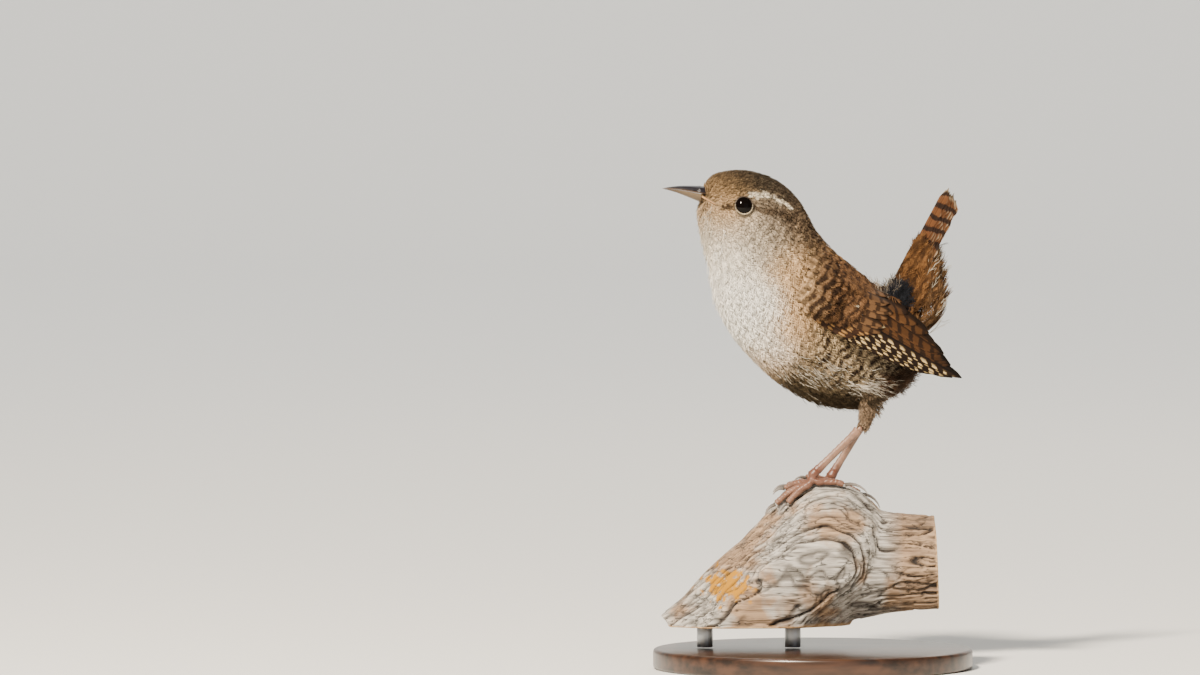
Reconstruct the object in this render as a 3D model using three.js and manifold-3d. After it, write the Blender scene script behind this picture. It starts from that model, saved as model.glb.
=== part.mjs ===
// A Eurasian wren, life size, on a short cut length of branch held by a plain display stand.
// Units are millimetres and +Z is up. The bird looks towards -X, and its left side faces -Y.
// The origin is the centre of the stand's underside.

import * as THREE from "three";
import { mergeVertices } from "three/addons/utils/BufferGeometryUtils.js";
import Module from "manifold-3d";

const wasm = await Module();
wasm.setup();

// Driving dimensions

const GAP = 0.3; // between two meshes that touch
const CUT = 0.55; // growth of a body that is cut out of its neighbour, so that a GAP stays at slanted faces too
const YAW = THREE.MathUtils.degToRad(12); // the head is turned this far towards -Y

const BASE = { radius: 40, height: 5, chamfer: 0.8, sides: 48 };
const ROD = { radius: 2, length: 6, sides: 16, places: [-27, -5] };
const PERCH = {
  depth: 35, // from the soles down to the sawn underside
  radius: 17.8, // of the thick limb
  dome: 18.2, // length of its rounded top end
  slope: THREE.MathUtils.degToRad(43), // of its axis, falling towards -X
  knob: [2.9, -17.6], // x and z where its rounded top end starts, from the soles
  stub: { from: [8, -20.5], to: [31, -19.5], radii: [14.2, 12] }, // the thinner limb
};
const FEET_Z = BASE.height + ROD.length + PERCH.depth;

// The bird's own frame has its origin on the branch between the feet, and is turned by YAW.
// Each section is cut from the back to the underside: [x, z] of both ends and the half-width.
const SECTIONS = [
  { name: "bill root", top: [-27.9, 75.2], under: [-28.6, 70.5], half: 2.3 },
  { name: "forehead", top: [-25.9, 77.6], under: [-29.6, 68.3], half: 4.1 },
  { name: "lores", top: [-22.2, 78.8], under: [-29.5, 65.6], half: 5.5 },
  { name: "crown", top: [-17.5, 79.0], under: [-28.8, 62.3], half: 6.6 },
  { name: "ear coverts", top: [-11.4, 77.5], under: [-27.9, 58.6], half: 7.3 },
  { name: "hind crown", top: [-6.2, 74.2], under: [-27.2, 54.8], half: 8.3 },
  { name: "nape", top: [-2.3, 69.6], under: [-26.7, 50.8], half: 9.7 },
  { name: "neck", top: [1.2, 63.8], under: [-25.6, 46.4], half: 11.5 },
  { name: "mantle", top: [5.3, 59.2], under: [-23.7, 41.6], half: 13.3 },
  { name: "shoulders", top: [10.0, 55.4], under: [-20.7, 36.6], half: 14.4 },
  { name: "back", top: [14.8, 51.2], under: [-16.3, 31.4], half: 14.7 },
  { name: "lower back", top: [19.2, 46.8], under: [-10.9, 26.3], half: 14.1 },
  { name: "rump", top: [22.9, 41.8], under: [-3.2, 21.3], half: 12.4 },
  { name: "thighs", top: [25.6, 36.6], under: [6.2, 18.7], half: 10.0 },
  { name: "vent", top: [27.0, 31.4], under: [14.6, 19.0], half: 7.0 },
  { name: "undertail", top: [26.6, 27.4], under: [20.6, 22.0], half: 3.2 },
];
const SECTION_SIDES = 26;
const HEAD_STEPS = 13;
const TORSO_STEPS = 20;
const HEAD_END = 5.4; // the head, neck and torso part at these places along the sections
const NECK_END = 7.3;
const PART_CLEARANCE = 0.09; // in sections, about a GAP

// Past the lower back the folded wings stand off the body on sections of their own.
const WING_SECTIONS = [
  ...SECTIONS.slice(5, 12),
  { name: "tertials", top: [25.2, 43.2], under: [0, 20], half: 13.3, square: 2.5 },
  { name: "secondaries", top: [31.2, 37.0], under: [10, 16], half: 11.6, square: 3 },
  { name: "primaries", top: [36.4, 30.0], under: [20, 12], half: 10.0, square: 3.5 },
  { name: "wing tips", top: [42.0, 22.0], under: [30, 8], half: 8.6, square: 4 },
];

const EYE = { place: [-19.3, 70.1], ball: 2.3, out: 1.0, lid: 2.28, lidTube: 0.32 };

const BILL = {
  tip: [-38.6, 74.15],
  culmen: 2.0, // height of the upper half over the mouth line at the root
  gonys: 2.1, // depth of the lower half under it
  half: 1.85, // half-width at the root
  mouth: 72.85, // height of the mouth line at the root
  steps: 8,
  // The slit's middle is this far from the root, and these shares of the bill's half-width out and height up.
  nostril: { from: 1.6, length: 1.7, height: 0.7, depth: 0.9, out: 0.86, up: 0.5 },
};

const WING = {
  bend: [-4.2, 46.6], // x and z of the bend of the folded wing
  droop: THREE.MathUtils.degToRad(27), // of its length below the horizontal
};

const TAIL = {
  root: [19.6, 44.8],
  slope: THREE.MathUtils.degToRad(61.5), // cocked this far above the horizontal
  roll: THREE.MathUtils.degToRad(12), // turned so that its upper face looks a little to the left
  length: 32.5,
  bare: 3, // the vanes start this far up from the root
  pairs: 6,
  width: 4.9, // of one feather
  thickness: 0.5,
  first: 0.55, // sideways place of the middle pair's shafts
  spread: 0.5, // sideways step from pair to pair
  fan: 0.012, // and the slope at which each pair opens past the last
  layer: 0.34, // step down from pair to pair
  arch: 0.05, // drop of the fan for the square of the distance from its middle
  graduation: 0.675, // each outer pair is shorter by this times its number to the power of worn
  worn: 1.25,
};

const LEG = {
  thighTop: 3.9, // radius in the body's plumage
  thighEnd: 1.9, // radius at the heel
  heel: 1.2, // length of the thigh past the heel
  shank: [0.95, 0.68], // half-depth and half-width of the tarsus
  pad: 1.1, // radius of the ball of the foot
  arch: 1.4, // height of the underside of the ball of the foot over the wood
};
// Places are x and z, or x alone on the wood. turnIn turns a foot's toes towards the other foot.
const LEGS = {
  left: { side: -1, hip: [12.9, 25.0], heel: [11.5, 15.0], out: 6.2, foot: -0.2, footOut: 4.2, turnIn: 13 },
  right: { side: 1, hip: [15.4, 25.0], heel: [15.2, 16.0], out: 6.2, foot: 5.6, footOut: 4.4, turnIn: -3 },
};

// Each toe leaves the foot at a bearing from straight ahead and has a length and a claw.
const TOES = [
  { name: "inner", bearing: 27, length: 8.6, claw: 3.8 },
  { name: "middle", bearing: 6, length: 12.0, claw: 4.2 },
  { name: "outer", bearing: -15, length: 9.4, claw: 3.8 },
  { name: "hind", bearing: 180, length: 8.8, claw: 6.6 },
];
const TOE = { root: 0.82, end: 0.56, knuckle: 0.07, clear: 0.22, steps: 6, sides: 7 };
// A claw rises from its toe at one angle and curls down through the other, in degrees.
const CLAW = { root: 0.5, tip: 0.14, steps: 5, sides: 6, rise: 22, curl: 74, clear: 0.2 };

const COLOURS = {
  plumage: 0x8a6a4a,
  pale: 0xcbb89c,
  wing: 0x7a4f30,
  tail: 0x8c5a34,
  bill: 0x3a2f2a,
  mandible: 0xb08a5a,
  eye: 0x0c0a0a,
  leg: 0xb98a78,
  claw: 0x9a8f88,
  wood: 0x9a8a78,
  stand: 0x2a2a2c,
  steel: 0xb8bcc0,
};

// Small tools

const v3 = (x, y, z) => new THREE.Vector3(x, y, z);
const mix = (a, b, t) => a + (b - a) * t;
const smooth = (a, b, t) => THREE.MathUtils.smoothstep(t, a, b);

// A manifold-3d solid from a three.js geometry.
function solid(geometry) {
  const bare = geometry.index ? geometry.toNonIndexed() : geometry.clone();
  for (const name of Object.keys(bare.attributes)) {
    if (name !== "position") bare.deleteAttribute(name);
  }
  const merged = mergeVertices(bare, 1e-4);
  const mesh = new wasm.Mesh({
    numProp: 3,
    vertProperties: new Float32Array(merged.attributes.position.array),
    triVerts: new Uint32Array(merged.index.array),
  });
  return new wasm.Manifold(mesh);
}

// A three.js geometry from a manifold-3d solid, of which only the largest closed surface is kept.
function geometryOf(made) {
  const pieces = made.decompose();
  const largest = pieces.reduce((a, b) => (b.volume() > a.volume() ? b : a));
  const { vertProperties, triVerts, numProp } = largest.getMesh();
  const count = vertProperties.length / numProp;
  const position = new Float32Array(count * 3);
  for (let i = 0; i < count; i++) {
    position.set(vertProperties.subarray(i * numProp, i * numProp + 3), i * 3);
  }
  const geometry = new THREE.BufferGeometry();
  geometry.setAttribute("position", new THREE.BufferAttribute(position, 3));
  geometry.setIndex(new THREE.BufferAttribute(new Uint32Array(triVerts), 1));
  geometry.computeVertexNormals();
  return geometry;
}

const join = (solids) => solids.reduce((a, b) => a.add(b));

// Skins a row of rings, each with as many points as the next, and closes both ends on their middles.
function loft(rings) {
  const sides = rings[0].length;
  const middles = [rings[0], rings[rings.length - 1]].map((ring) =>
    ring.reduce((sum, p) => sum.add(p), v3(0, 0, 0)).divideScalar(sides),
  );
  const points = [...rings.flat(), ...middles];
  const first = rings.length * sides;
  const faces = [];
  for (let j = 0; j < sides; j++) {
    const k = (j + 1) % sides;
    for (let i = 0; i + 1 < rings.length; i++) {
      const a = i * sides;
      const b = a + sides;
      faces.push([a + j, b + j, b + k], [a + j, b + k, a + k]);
    }
    const last = first - sides;
    faces.push([first, j, k], [first + 1, last + k, last + j]);
  }
  const volume = faces.reduce((sum, [a, b, c]) => {
    return sum + points[a].dot(points[b].clone().cross(points[c]));
  }, 0);
  const index = faces.flatMap(([a, b, c]) => (volume > 0 ? [a, b, c] : [a, c, b]));
  const geometry = new THREE.BufferGeometry().setFromPoints(points);
  geometry.setIndex(index);
  geometry.computeVertexNormals();
  return geometry;
}

// A ring of an ellipse about a centre, in the plane of two half-axes.
function ellipse(centre, up, across, sides) {
  return Array.from({ length: sides }, (_, i) => {
    const a = (2 * Math.PI * i) / sides;
    return centre.clone().addScaledVector(up, Math.cos(a)).addScaledVector(across, Math.sin(a));
  });
}

// A round limb through a list of points, with a radius at each share of its length.
function limb(path, radiusAt, sides, steps, flatness = 1) {
  const curve = new THREE.CatmullRomCurve3(path, false, "centripetal");
  const rings = Array.from({ length: steps + 1 }, (_, i) => {
    const t = i / steps;
    const along = curve.getTangentAt(t);
    const across = v3(along.y, -along.x, 0);
    if (across.length() < 0.2) across.set(0, 1, 0);
    across.addScaledVector(along, -across.dot(along)).normalize();
    const up = across.clone().cross(along);
    const r = radiusAt(t);
    return ellipse(
      curve.getPointAt(t),
      up.multiplyScalar(r),
      across.multiplyScalar(r * flatness),
      sides,
    );
  });
  return loft(rings);
}

// The plumage's surface, from sections of the body

class Trunk {
  constructor(sections) {
    const curveOf = (pick) => new THREE.CatmullRomCurve3(sections.map(pick), false, "centripetal");
    this.last = sections.length - 1;
    this.top = curveOf(({ top }) => v3(top[0], 0, top[1]));
    this.under = curveOf(({ under }) => v3(under[0], 0, under[1]));
    this.widths = sections.map(({ half }) => half);
    this.squares = sections.map(({ square = 2.15 }) => square);
  }

  // The section at s, counted in sections.
  section(s) {
    const t = THREE.MathUtils.clamp(s / this.last, 0, 1);
    return {
      top: this.top.getPoint(t),
      under: this.under.getPoint(t),
      half: this.between(this.widths, s),
      square: this.between(this.squares, s),
    };
  }

  // Catmull-Rom interpolation of a row of numbers.
  between(row, s) {
    const i = Math.min(Math.floor(s), this.last - 1);
    const f = s - i;
    const [a, b, c, d] = [i - 1, i, i + 1, i + 2].map(
      (j) => row[THREE.MathUtils.clamp(j, 0, this.last)],
    );
    const m = (c - a) / 2;
    const n = (d - b) / 2;
    const f2 = f * f;
    const f3 = f2 * f;
    return (2 * f3 - 3 * f2 + 1) * b + (f3 - 2 * f2 + f) * m + (3 * f2 - 2 * f3) * c + (f3 - f2) * n;
  }

  ring(s, grow = 0) {
    const { top, under, half, square } = this.section(s);
    const middle = top.clone().add(under).divideScalar(2);
    const up = top.clone().sub(middle);
    up.setLength(up.length() + grow);
    return Array.from({ length: SECTION_SIDES }, (_, i) => {
      const a = (2 * Math.PI * i) / SECTION_SIDES;
      const rise = Math.sign(Math.cos(a)) * Math.abs(Math.cos(a)) ** (2 / square);
      const out = Math.sign(Math.sin(a)) * Math.abs(Math.sin(a)) ** (2 / square);
      return middle.clone().addScaledVector(up, rise).add(v3(0, out * (half + grow), 0));
    });
  }

  // The stretch from section a to section b as a closed geometry.
  stretch(a, b, steps, grow = 0) {
    return loft(Array.from({ length: steps + 1 }, (_, i) => this.ring(mix(a, b, i / steps), grow)));
  }

  // Half-width of the surface where it is seen at x, z from the side.
  sideAt(x, z) {
    const across = (s) => {
      const { top, under } = this.section(s);
      return (top.x - under.x) * (z - under.z) - (top.z - under.z) * (x - under.x);
    };
    let low = 0;
    let high = this.last;
    const turn = Math.sign(across(low));
    for (let i = 0; i < 30; i++) {
      const s = (low + high) / 2;
      if (Math.sign(across(s)) === turn) low = s;
      else high = s;
    }
    const { top, under, half, square } = this.section(low);
    const chord = top.clone().sub(under);
    const k = (2 * v3(x, 0, z).sub(under).dot(chord)) / chord.lengthSq() - 1;
    const kept = Math.min(Math.abs(k), 0.985);
    return half * (1 - kept ** square) ** (1 / square);
  }

  // Point and outward normal on one side, at x, z as seen from that side.
  surface(x, z, side) {
    const step = 0.4;
    const y = this.sideAt(x, z);
    const normal = v3(
      this.sideAt(x - step, z) - this.sideAt(x + step, z),
      2 * step,
      this.sideAt(x, z - step) - this.sideAt(x, z + step),
    ).normalize();
    normal.y *= side;
    return { point: v3(x, y * side, z), normal };
  }
}

const body = new Trunk(SECTIONS);
const folded = new Trunk(WING_SECTIONS);

// Feathers

// One vane. place(along, across, lift) gives a point in space for a place in the feather's own flat frame:
// along it from the root, across it from the shaft, and the height over what it lies on.
function vane({ length, width, thickness, steps, pointed, lift, tilt, place }) {
  const rings = Array.from({ length: steps + 1 }, (_, i) => {
    const t = i / steps;
    const flare = mix(0.45, 1, smooth(0, 0.4, t));
    const into = Math.max(0, (t - 1 + pointed) / pointed);
    const half = (width / 2) * flare * Math.max(Math.sqrt(Math.max(0, 1 - into ** 2)), 0.16);
    const thick = thickness * mix(1, 0.7, smooth(0.5, 1, t));
    const crown = 0.06 * width * flare;
    const lean = (tilt * half) / width;
    const base = lift(t);
    return [
      place(t * length, -half, base + thick - lean),
      place(t * length, 0, base + thick + crown),
      place(t * length, half, base + thick + lean),
      place(t * length, half, base + lean),
      place(t * length, -half, base - lean),
    ];
  });
  return solid(loft(rings));
}

// The branch: a thick sloping limb with a rounded top end, and the stub of a thinner one

const knobCentre = v3(PERCH.knob[0], 0, PERCH.knob[1]);
const limbAxis = v3(Math.cos(PERCH.slope), 0, Math.sin(PERCH.slope));

// Shallow furrows and swellings of weathered wood round an axis, as a share of the radius.
const gnarl = (angle, along) =>
  1 +
  0.035 * Math.sin(3 * angle + 0.09 * along + 0.6) +
  0.025 * Math.sin(7 * angle - 0.06 * along + 2.1) +
  0.03 * Math.sin(0.21 * along + 2 * angle);

function woodRing(centre, axis, radius, along) {
  const sides = 28;
  const across = v3(0, 1, 0);
  const up = across.clone().cross(axis).negate();
  return Array.from({ length: sides }, (_, i) => {
    const a = (2 * Math.PI * i) / sides;
    const r = radius * gnarl(a, along);
    return centre
      .clone()
      .addScaledVector(up, Math.cos(a) * r)
      .addScaledVector(across, Math.sin(a) * r);
  });
}

function thickLimb() {
  const rings = [];
  const buried = -1.15 * PERCH.depth;
  const straight = 6;
  const ringAt = (along, radius) => {
    const centre = knobCentre.clone().addScaledVector(limbAxis, along);
    rings.push(woodRing(centre, limbAxis, radius, along));
  };
  for (let i = 0; i <= straight; i++) ringAt(mix(buried, 0, i / straight), PERCH.radius);
  const dome = 7;
  for (let i = 1; i <= dome; i++) {
    const a = (i / dome) * THREE.MathUtils.degToRad(85);
    ringAt(PERCH.dome * Math.sin(a), PERCH.radius * Math.cos(a) ** 0.9);
  }
  return solid(loft(rings));
}

function thinLimb() {
  const { from, to, radii } = PERCH.stub;
  const a = v3(from[0], 0, from[1]);
  const b = v3(to[0], 0, to[1]);
  const axis = b.clone().sub(a).normalize();
  const steps = 4;
  return solid(
    loft(
      Array.from({ length: steps + 1 }, (_, i) => {
        const t = i / steps;
        return woodRing(a.clone().lerp(b, t), axis, mix(...radii, t), a.distanceTo(b) * t + 5);
      }),
    ),
  );
}

function perchSolid() {
  const wide = 12 * PERCH.radius;
  const below = new THREE.BoxGeometry(wide, wide, wide).translate(0, 0, -PERCH.depth - wide / 2);
  return thickLimb().add(thinLimb()).subtract(solid(below));
}

const perchGeometry = geometryOf(perchSolid());

// The place at x, y in the bird's frame that is a given distance off the wood.
const caster = new THREE.Raycaster();
const wood = new THREE.Mesh(perchGeometry);
function onWood(x, y, off) {
  const upright = v3(0, 0, 1);
  caster.set(v3(x, y, 60).applyAxisAngle(upright, YAW), v3(0, 0, -1));
  const [hit] = caster.intersectObject(wood);
  const { point, face } = hit;
  return point.addScaledVector(face.normal, off + GAP).applyAxisAngle(upright, -YAW);
}

// The head, with sockets for the eyes and a lid round each

const eyeSeat = (side) => {
  const { point, normal } = body.surface(EYE.place[0], EYE.place[1], side);
  const centre = point.clone().addScaledVector(normal, EYE.out - EYE.ball);
  return { centre, normal, point };
};

function ballAt(centre, radius) {
  return new THREE.SphereGeometry(radius, 16, 10).translate(centre.x, centre.y, centre.z);
}

function headSolid() {
  let head = solid(body.stretch(0, HEAD_END, HEAD_STEPS));
  for (const side of [-1, 1]) {
    const { centre, normal, point } = eyeSeat(side);
    const ring = new THREE.TorusGeometry(EYE.lid, EYE.lidTube, 6, 16);
    const turn = new THREE.Quaternion().setFromUnitVectors(v3(0, 0, 1), normal);
    ring.applyQuaternion(turn).translate(point.x, point.y, point.z);
    head = head.add(solid(ring)).subtract(solid(ballAt(centre, EYE.ball + GAP)));
  }
  return head;
}

// The bill: two tapering halves that meet along the mouth line

// The upper half starts clear of the middle of the head's front face, and the lower half clear of its foot.
function billStart(upper) {
  const root = body.section(0);
  return (upper ? (root.top.x + root.under.x) / 2 : root.under.x) - GAP;
}

function billHalf(upper) {
  const start = billStart(upper);
  const sides = 9;
  const rings = Array.from({ length: BILL.steps + 1 }, (_, i) => {
    const t = i / BILL.steps;
    const x = mix(start, BILL.tip[0], t);
    const mouth = mix(BILL.mouth, BILL.tip[1], Math.sin((t * Math.PI) / 2) ** 1.15);
    const taper = Math.max(1 - t, 0.035);
    const tall = upper ? BILL.culmen * taper ** 0.8 : BILL.gonys * taper ** 1.05;
    const half = BILL.half * taper ** 0.85;
    const lip = mouth + (upper ? GAP : -GAP) / 2;
    return Array.from({ length: sides }, (_, j) => {
      const a = (Math.PI * j) / (sides - 1);
      const rise = Math.sin(a) ** 0.9 * tall * (upper ? 1 : -1);
      return v3(x, Math.cos(a) * half, lip + rise);
    });
  });
  return loft(rings);
}

function upperBill() {
  let made = solid(billHalf(true));
  const { from, length, height, depth, out, up } = BILL.nostril;
  for (const side of [-1, 1]) {
    const slot = new THREE.SphereGeometry(0.5, 10, 8).scale(length, depth, height);
    slot.translate(billStart(true) - from, side * BILL.half * out, BILL.mouth + BILL.culmen * up);
    made = made.subtract(solid(slot));
  }
  return made;
}

// The root of the lower half fits the chin.
function lowerBill() {
  return solid(billHalf(false)).subtract(solid(body.stretch(0, HEAD_END, HEAD_STEPS, CUT)));
}

// The cocked tail: a cone of coverts and twelve feathers in a closed fan

const tailAxis = v3(Math.cos(TAIL.slope), 0, Math.sin(TAIL.slope));
const tailRoof = v3(-Math.sin(TAIL.slope) * Math.cos(TAIL.roll), -Math.sin(TAIL.roll), 0);
tailRoof.z = Math.cos(TAIL.slope) * Math.cos(TAIL.roll);
const tailAcross = tailRoof.clone().cross(tailAxis).negate();
const tailRoot = v3(TAIL.root[0], 0, TAIL.root[1]);

function tailFeather(pair, side) {
  const middle = side * (TAIL.first + pair * TAIL.spread);
  const fan = side * pair * TAIL.fan;
  return vane({
    length: TAIL.length - TAIL.graduation * pair ** TAIL.worn - TAIL.bare,
    width: TAIL.width,
    thickness: TAIL.thickness,
    steps: 4,
    pointed: 0.2,
    lift: () => 0,
    tilt: 0,
    place: (along, sideways, lift) => {
      const out = middle + sideways + fan * along;
      const roof = lift - pair * TAIL.layer - TAIL.arch * out * out;
      return tailRoot
        .clone()
        .addScaledVector(tailAxis, along + TAIL.bare)
        .addScaledVector(tailAcross, out)
        .addScaledVector(tailRoof, roof);
    },
  });
}

// Sections of the cone, from the rump up to where the bare tail begins.
const TAIL_CONE = [
  { top: [16.6, 46.0], under: [24.4, 33.0], half: 6.8 },
  { top: [18.4, 50.2], under: [30.6, 37.6], half: 6.9 },
  { top: [20.6, 54.0], under: [32.4, 43.8], half: 6.3 },
  { top: [22.6, 57.0], under: [31.8, 50.0], half: 5.5 },
  { top: [24.6, 59.8], under: [30.6, 55.6], half: 4.8 },
  { top: [26.2, 61.8], under: [29.2, 60.2], half: 4.2 },
];

const tailCone = new Trunk(TAIL_CONE);
const CONE_STEPS = 9;

// The torso as it is cut out of the pieces that lie on it, more where they lie on its slanting hind end.
const torsoCutter = (grow = CUT) => solid(body.stretch(NECK_END, body.last, TORSO_STEPS, grow));

function tailSolid() {
  const feathers = [];
  for (let pair = 0; pair < TAIL.pairs; pair++) {
    feathers.push(tailFeather(pair, -1), tailFeather(pair, 1));
  }
  return join([solid(tailCone.stretch(0, tailCone.last, CONE_STEPS)), ...feathers]).subtract(torsoCutter());
}

// The folded wings

const alongWing = v3(Math.cos(WING.droop), 0, -Math.sin(WING.droop));
const overWing = v3(Math.sin(WING.droop), 0, Math.cos(WING.droop));

// A point of the wing, p from the bend towards the tip and q towards the back, lifted off the body.
function wingPoint(p, q, lift, side) {
  const x = WING.bend[0] + alongWing.x * p + overWing.x * q;
  const z = WING.bend[1] + alongWing.z * p + overWing.z * q;
  const { point, normal } = folded.surface(x, z, side);
  return point.addScaledVector(normal, lift);
}

// Tiers of feathers, lowest first. Roots and tips are places on the wing of the first and last feather of a
// tier, and the tips between them bulge by bow. The level is the height over the lowest tier.
const WING_TIERS = [
  {
    name: "primaries", count: 7, root: [[5, -3.0], [9, 1.2]], tip: [[34.5, -2.0], [44.2, 0.5]],
    bow: 1.6, level: 0, width: 4.0, thickness: 0.55, steps: 5, pointed: 0.3,
  },
  {
    name: "secondaries", count: 5, root: [[9, 1.2], [10, 6.6]], tip: [[41.5, 1.9], [37, 4.2]],
    bow: 0, level: 0.3, width: 4.4, thickness: 0.55, steps: 4, pointed: 0.22,
  },
  {
    name: "tertials", count: 3, root: [[10, 7.2], [11, 10.2]], tip: [[34.5, 4.9], [26, 8.0]],
    bow: 0, level: 0.6, width: 5.4, thickness: 0.6, steps: 4, pointed: 0.3,
  },
  {
    name: "primary coverts", count: 4, root: [[2, -2.6], [5, 0.2]], tip: [[15.5, -2.9], [18.5, 0]],
    bow: 0, level: 0.7, width: 3.2, thickness: 0.55, steps: 3, pointed: 0.35,
  },
  {
    name: "greater coverts", count: 5, root: [[5, 0.4], [7, 9.2]], tip: [[19.5, 1.2], [18.5, 9.8]],
    bow: 0, level: 1.0, width: 4.8, thickness: 0.6, steps: 3, pointed: 0.4,
  },
  {
    name: "median coverts", count: 4, root: [[1, -0.8], [3, 8.6]], tip: [[10.8, 0], [11.6, 9.4]],
    bow: 0, level: 1.4, width: 5, thickness: 0.6, steps: 3, pointed: 0.45,
  },
];

function wingFeather(tier, share, side) {
  const [r0, r1] = tier.root;
  const [t0, t1] = tier.tip;
  const root = new THREE.Vector2(mix(r0[0], r1[0], share), mix(r0[1], r1[1], share));
  const tip = new THREE.Vector2(mix(t0[0], t1[0], share), mix(t0[1], t1[1], share));
  tip.x += tier.bow * Math.sin(Math.PI * share);
  const shaft = tip.clone().sub(root);
  const length = shaft.length();
  shaft.normalize();
  const across = new THREE.Vector2(-shaft.y, shaft.x);
  return vane({
    ...tier,
    length,
    lift: (t) => CUT + tier.level * mix(0.8, 1, t),
    tilt: -0.5,
    place: (along, sideways, lift) => {
      const at = root.clone().addScaledVector(shaft, along).addScaledVector(across, sideways);
      return wingPoint(at.x, at.y, lift, side);
    },
  });
}

// The arm under the coverts, a low lens that all the roots are sunk in.
const ARM = { from: -2.6, to: 16, middle: [2.4, 4.4], half: [4.6, 6.4], rise: 1.7, steps: 7 };

function wingArm(side) {
  const rings = Array.from({ length: ARM.steps + 1 }, (_, i) => {
    const t = i / ARM.steps;
    const bulge = Math.sqrt(Math.max(0.05, 1 - (2 * t - 1) ** 4));
    const middle = mix(...ARM.middle, t);
    const half = mix(...ARM.half, t) * bulge;
    const crown = [-1, -0.6, 0, 0.6, 1].map((share) => {
      const lift = GAP + 0.35 + ARM.rise * bulge * (1 - share ** 2);
      return wingPoint(mix(ARM.from, ARM.to, t), middle + share * half, lift, side);
    });
    const under = [1, 0.5, 0, -0.5, -1].map((share) => {
      return wingPoint(mix(ARM.from, ARM.to, t), middle + share * half, GAP, side);
    });
    return [...crown, ...under];
  });
  return solid(loft(rings));
}

function wingSolid(side) {
  const feathers = WING_TIERS.flatMap((tier) =>
    Array.from({ length: tier.count }, (_, i) => wingFeather(tier, i / (tier.count - 1), side)),
  );
  const cone = solid(tailCone.stretch(0, tailCone.last, CONE_STEPS, CUT));
  return join([wingArm(side), ...feathers]).subtract(torsoCutter()).subtract(cone);
}

// The legs

const legPoint = ({ side, out }, [x, z]) => v3(x, side * out, z);

// Centre of the ball of the foot.
const footPad = (leg) => onWood(leg.foot, leg.side * leg.footOut, LEG.pad + LEG.arch);

const shankWay = (leg) => footPad(leg).sub(legPoint(leg, leg.heel)).normalize();

// The thigh ends square to the shank, which starts there.
function thighSolid(leg) {
  const hip = legPoint(leg, leg.hip);
  const heel = legPoint(leg, leg.heel);
  const end = heel.clone().addScaledVector(shankWay(leg), LEG.heel);
  const radiusAt = (t) => mix(LEG.thighTop, LEG.thighEnd, smooth(0.1, 0.9, t));
  return solid(limb([hip, heel, end], radiusAt, 14, 8)).subtract(torsoCutter(1.4 * CUT));
}

function shankSolid(leg) {
  const way = shankWay(leg);
  const from = legPoint(leg, leg.heel).addScaledVector(way, LEG.heel + CUT);
  const to = footPad(leg).addScaledVector(way, -LEG.pad - GAP);
  const radiusAt = (t) => {
    const heelKnob = 0.35 * Math.exp(-((t / 0.09) ** 2));
    const footKnob = 0.2 * Math.exp(-(((1 - t) / 0.12) ** 2));
    return LEG.shank[0] + heelKnob + footKnob;
  };
  const shank = limb([from, to], radiusAt, 10, 10, LEG.shank[1] / LEG.shank[0]);
  return solid(shank).subtract(footSolid(leg, CUT));
}

// Places along a toe, which lies on the wood from the ball of the foot to its claw.
function toePath(leg, toe) {
  const turn = THREE.MathUtils.degToRad(toe.bearing + leg.turnIn) * leg.side;
  const ahead = v3(-Math.cos(turn), -Math.sin(turn), 0);
  const places = [footPad(leg)];
  const steps = 5;
  let reach = places[0].clone();
  for (let i = 1; i <= steps; i++) {
    const radius = mix(TOE.root, TOE.end, i / steps);
    const before = places[places.length - 1];
    let stride = toe.length / steps;
    for (let n = 0; n < 6; n++) {
      const tried = reach.clone().addScaledVector(ahead, stride);
      const gone = onWood(tried.x, tried.y, radius + TOE.clear).distanceTo(before);
      stride *= toe.length / steps / gone;
    }
    reach = reach.clone().addScaledVector(ahead, stride);
    places.push(onWood(reach.x, reach.y, radius + TOE.clear));
  }
  return places;
}

function footSolid(leg, grow = 0) {
  const centre = footPad(leg);
  const pad = new THREE.SphereGeometry(LEG.pad + grow, 12, 8).translate(centre.x, centre.y, centre.z);
  const toes = TOES.map((toe) => {
    const knuckles = (t) => TOE.knuckle * Math.cos(t * Math.PI * TOE.steps);
    const radiusAt = (t) => mix(TOE.root, TOE.end, t) + knuckles(t) + grow;
    return solid(limb(toePath(leg, toe), radiusAt, TOE.sides, TOE.steps));
  });
  return join([solid(pad), ...toes]);
}

function clawSolid(leg, toe) {
  const places = toePath(leg, toe);
  const end = places[places.length - 1];
  const along = end.clone().sub(places[places.length - 2]).normalize();
  const path = [];
  const steps = 4;
  const axis = along.clone().cross(v3(0, 0, 1)).normalize();
  const heading = along.clone().applyAxisAngle(axis, THREE.MathUtils.degToRad(CLAW.rise));
  const at = end.clone().addScaledVector(along, GAP + CLAW.clear);
  path.push(at.clone());
  for (let i = 1; i <= steps; i++) {
    at.addScaledVector(heading, toe.claw / steps);
    const radius = mix(CLAW.root, CLAW.tip, i / steps);
    const floor = onWood(at.x, at.y, radius);
    if (at.z < floor.z) at.z = floor.z;
    path.push(at.clone());
    heading.applyAxisAngle(axis, -THREE.MathUtils.degToRad(CLAW.curl) / steps);
  }
  return limb(path, (t) => mix(CLAW.root, CLAW.tip, t ** 1.2), CLAW.sides, CLAW.steps);
}

// The stand

function baseGeometry() {
  const { radius, height, chamfer, sides } = BASE;
  const outline = [
    [0, 0],
    [radius, 0],
    [radius, height - chamfer],
    [radius - chamfer, height],
    [0, height],
  ].map(([r, z]) => new THREE.Vector2(r, z));
  return new THREE.LatheGeometry(outline, sides).rotateX(Math.PI / 2);
}

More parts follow.
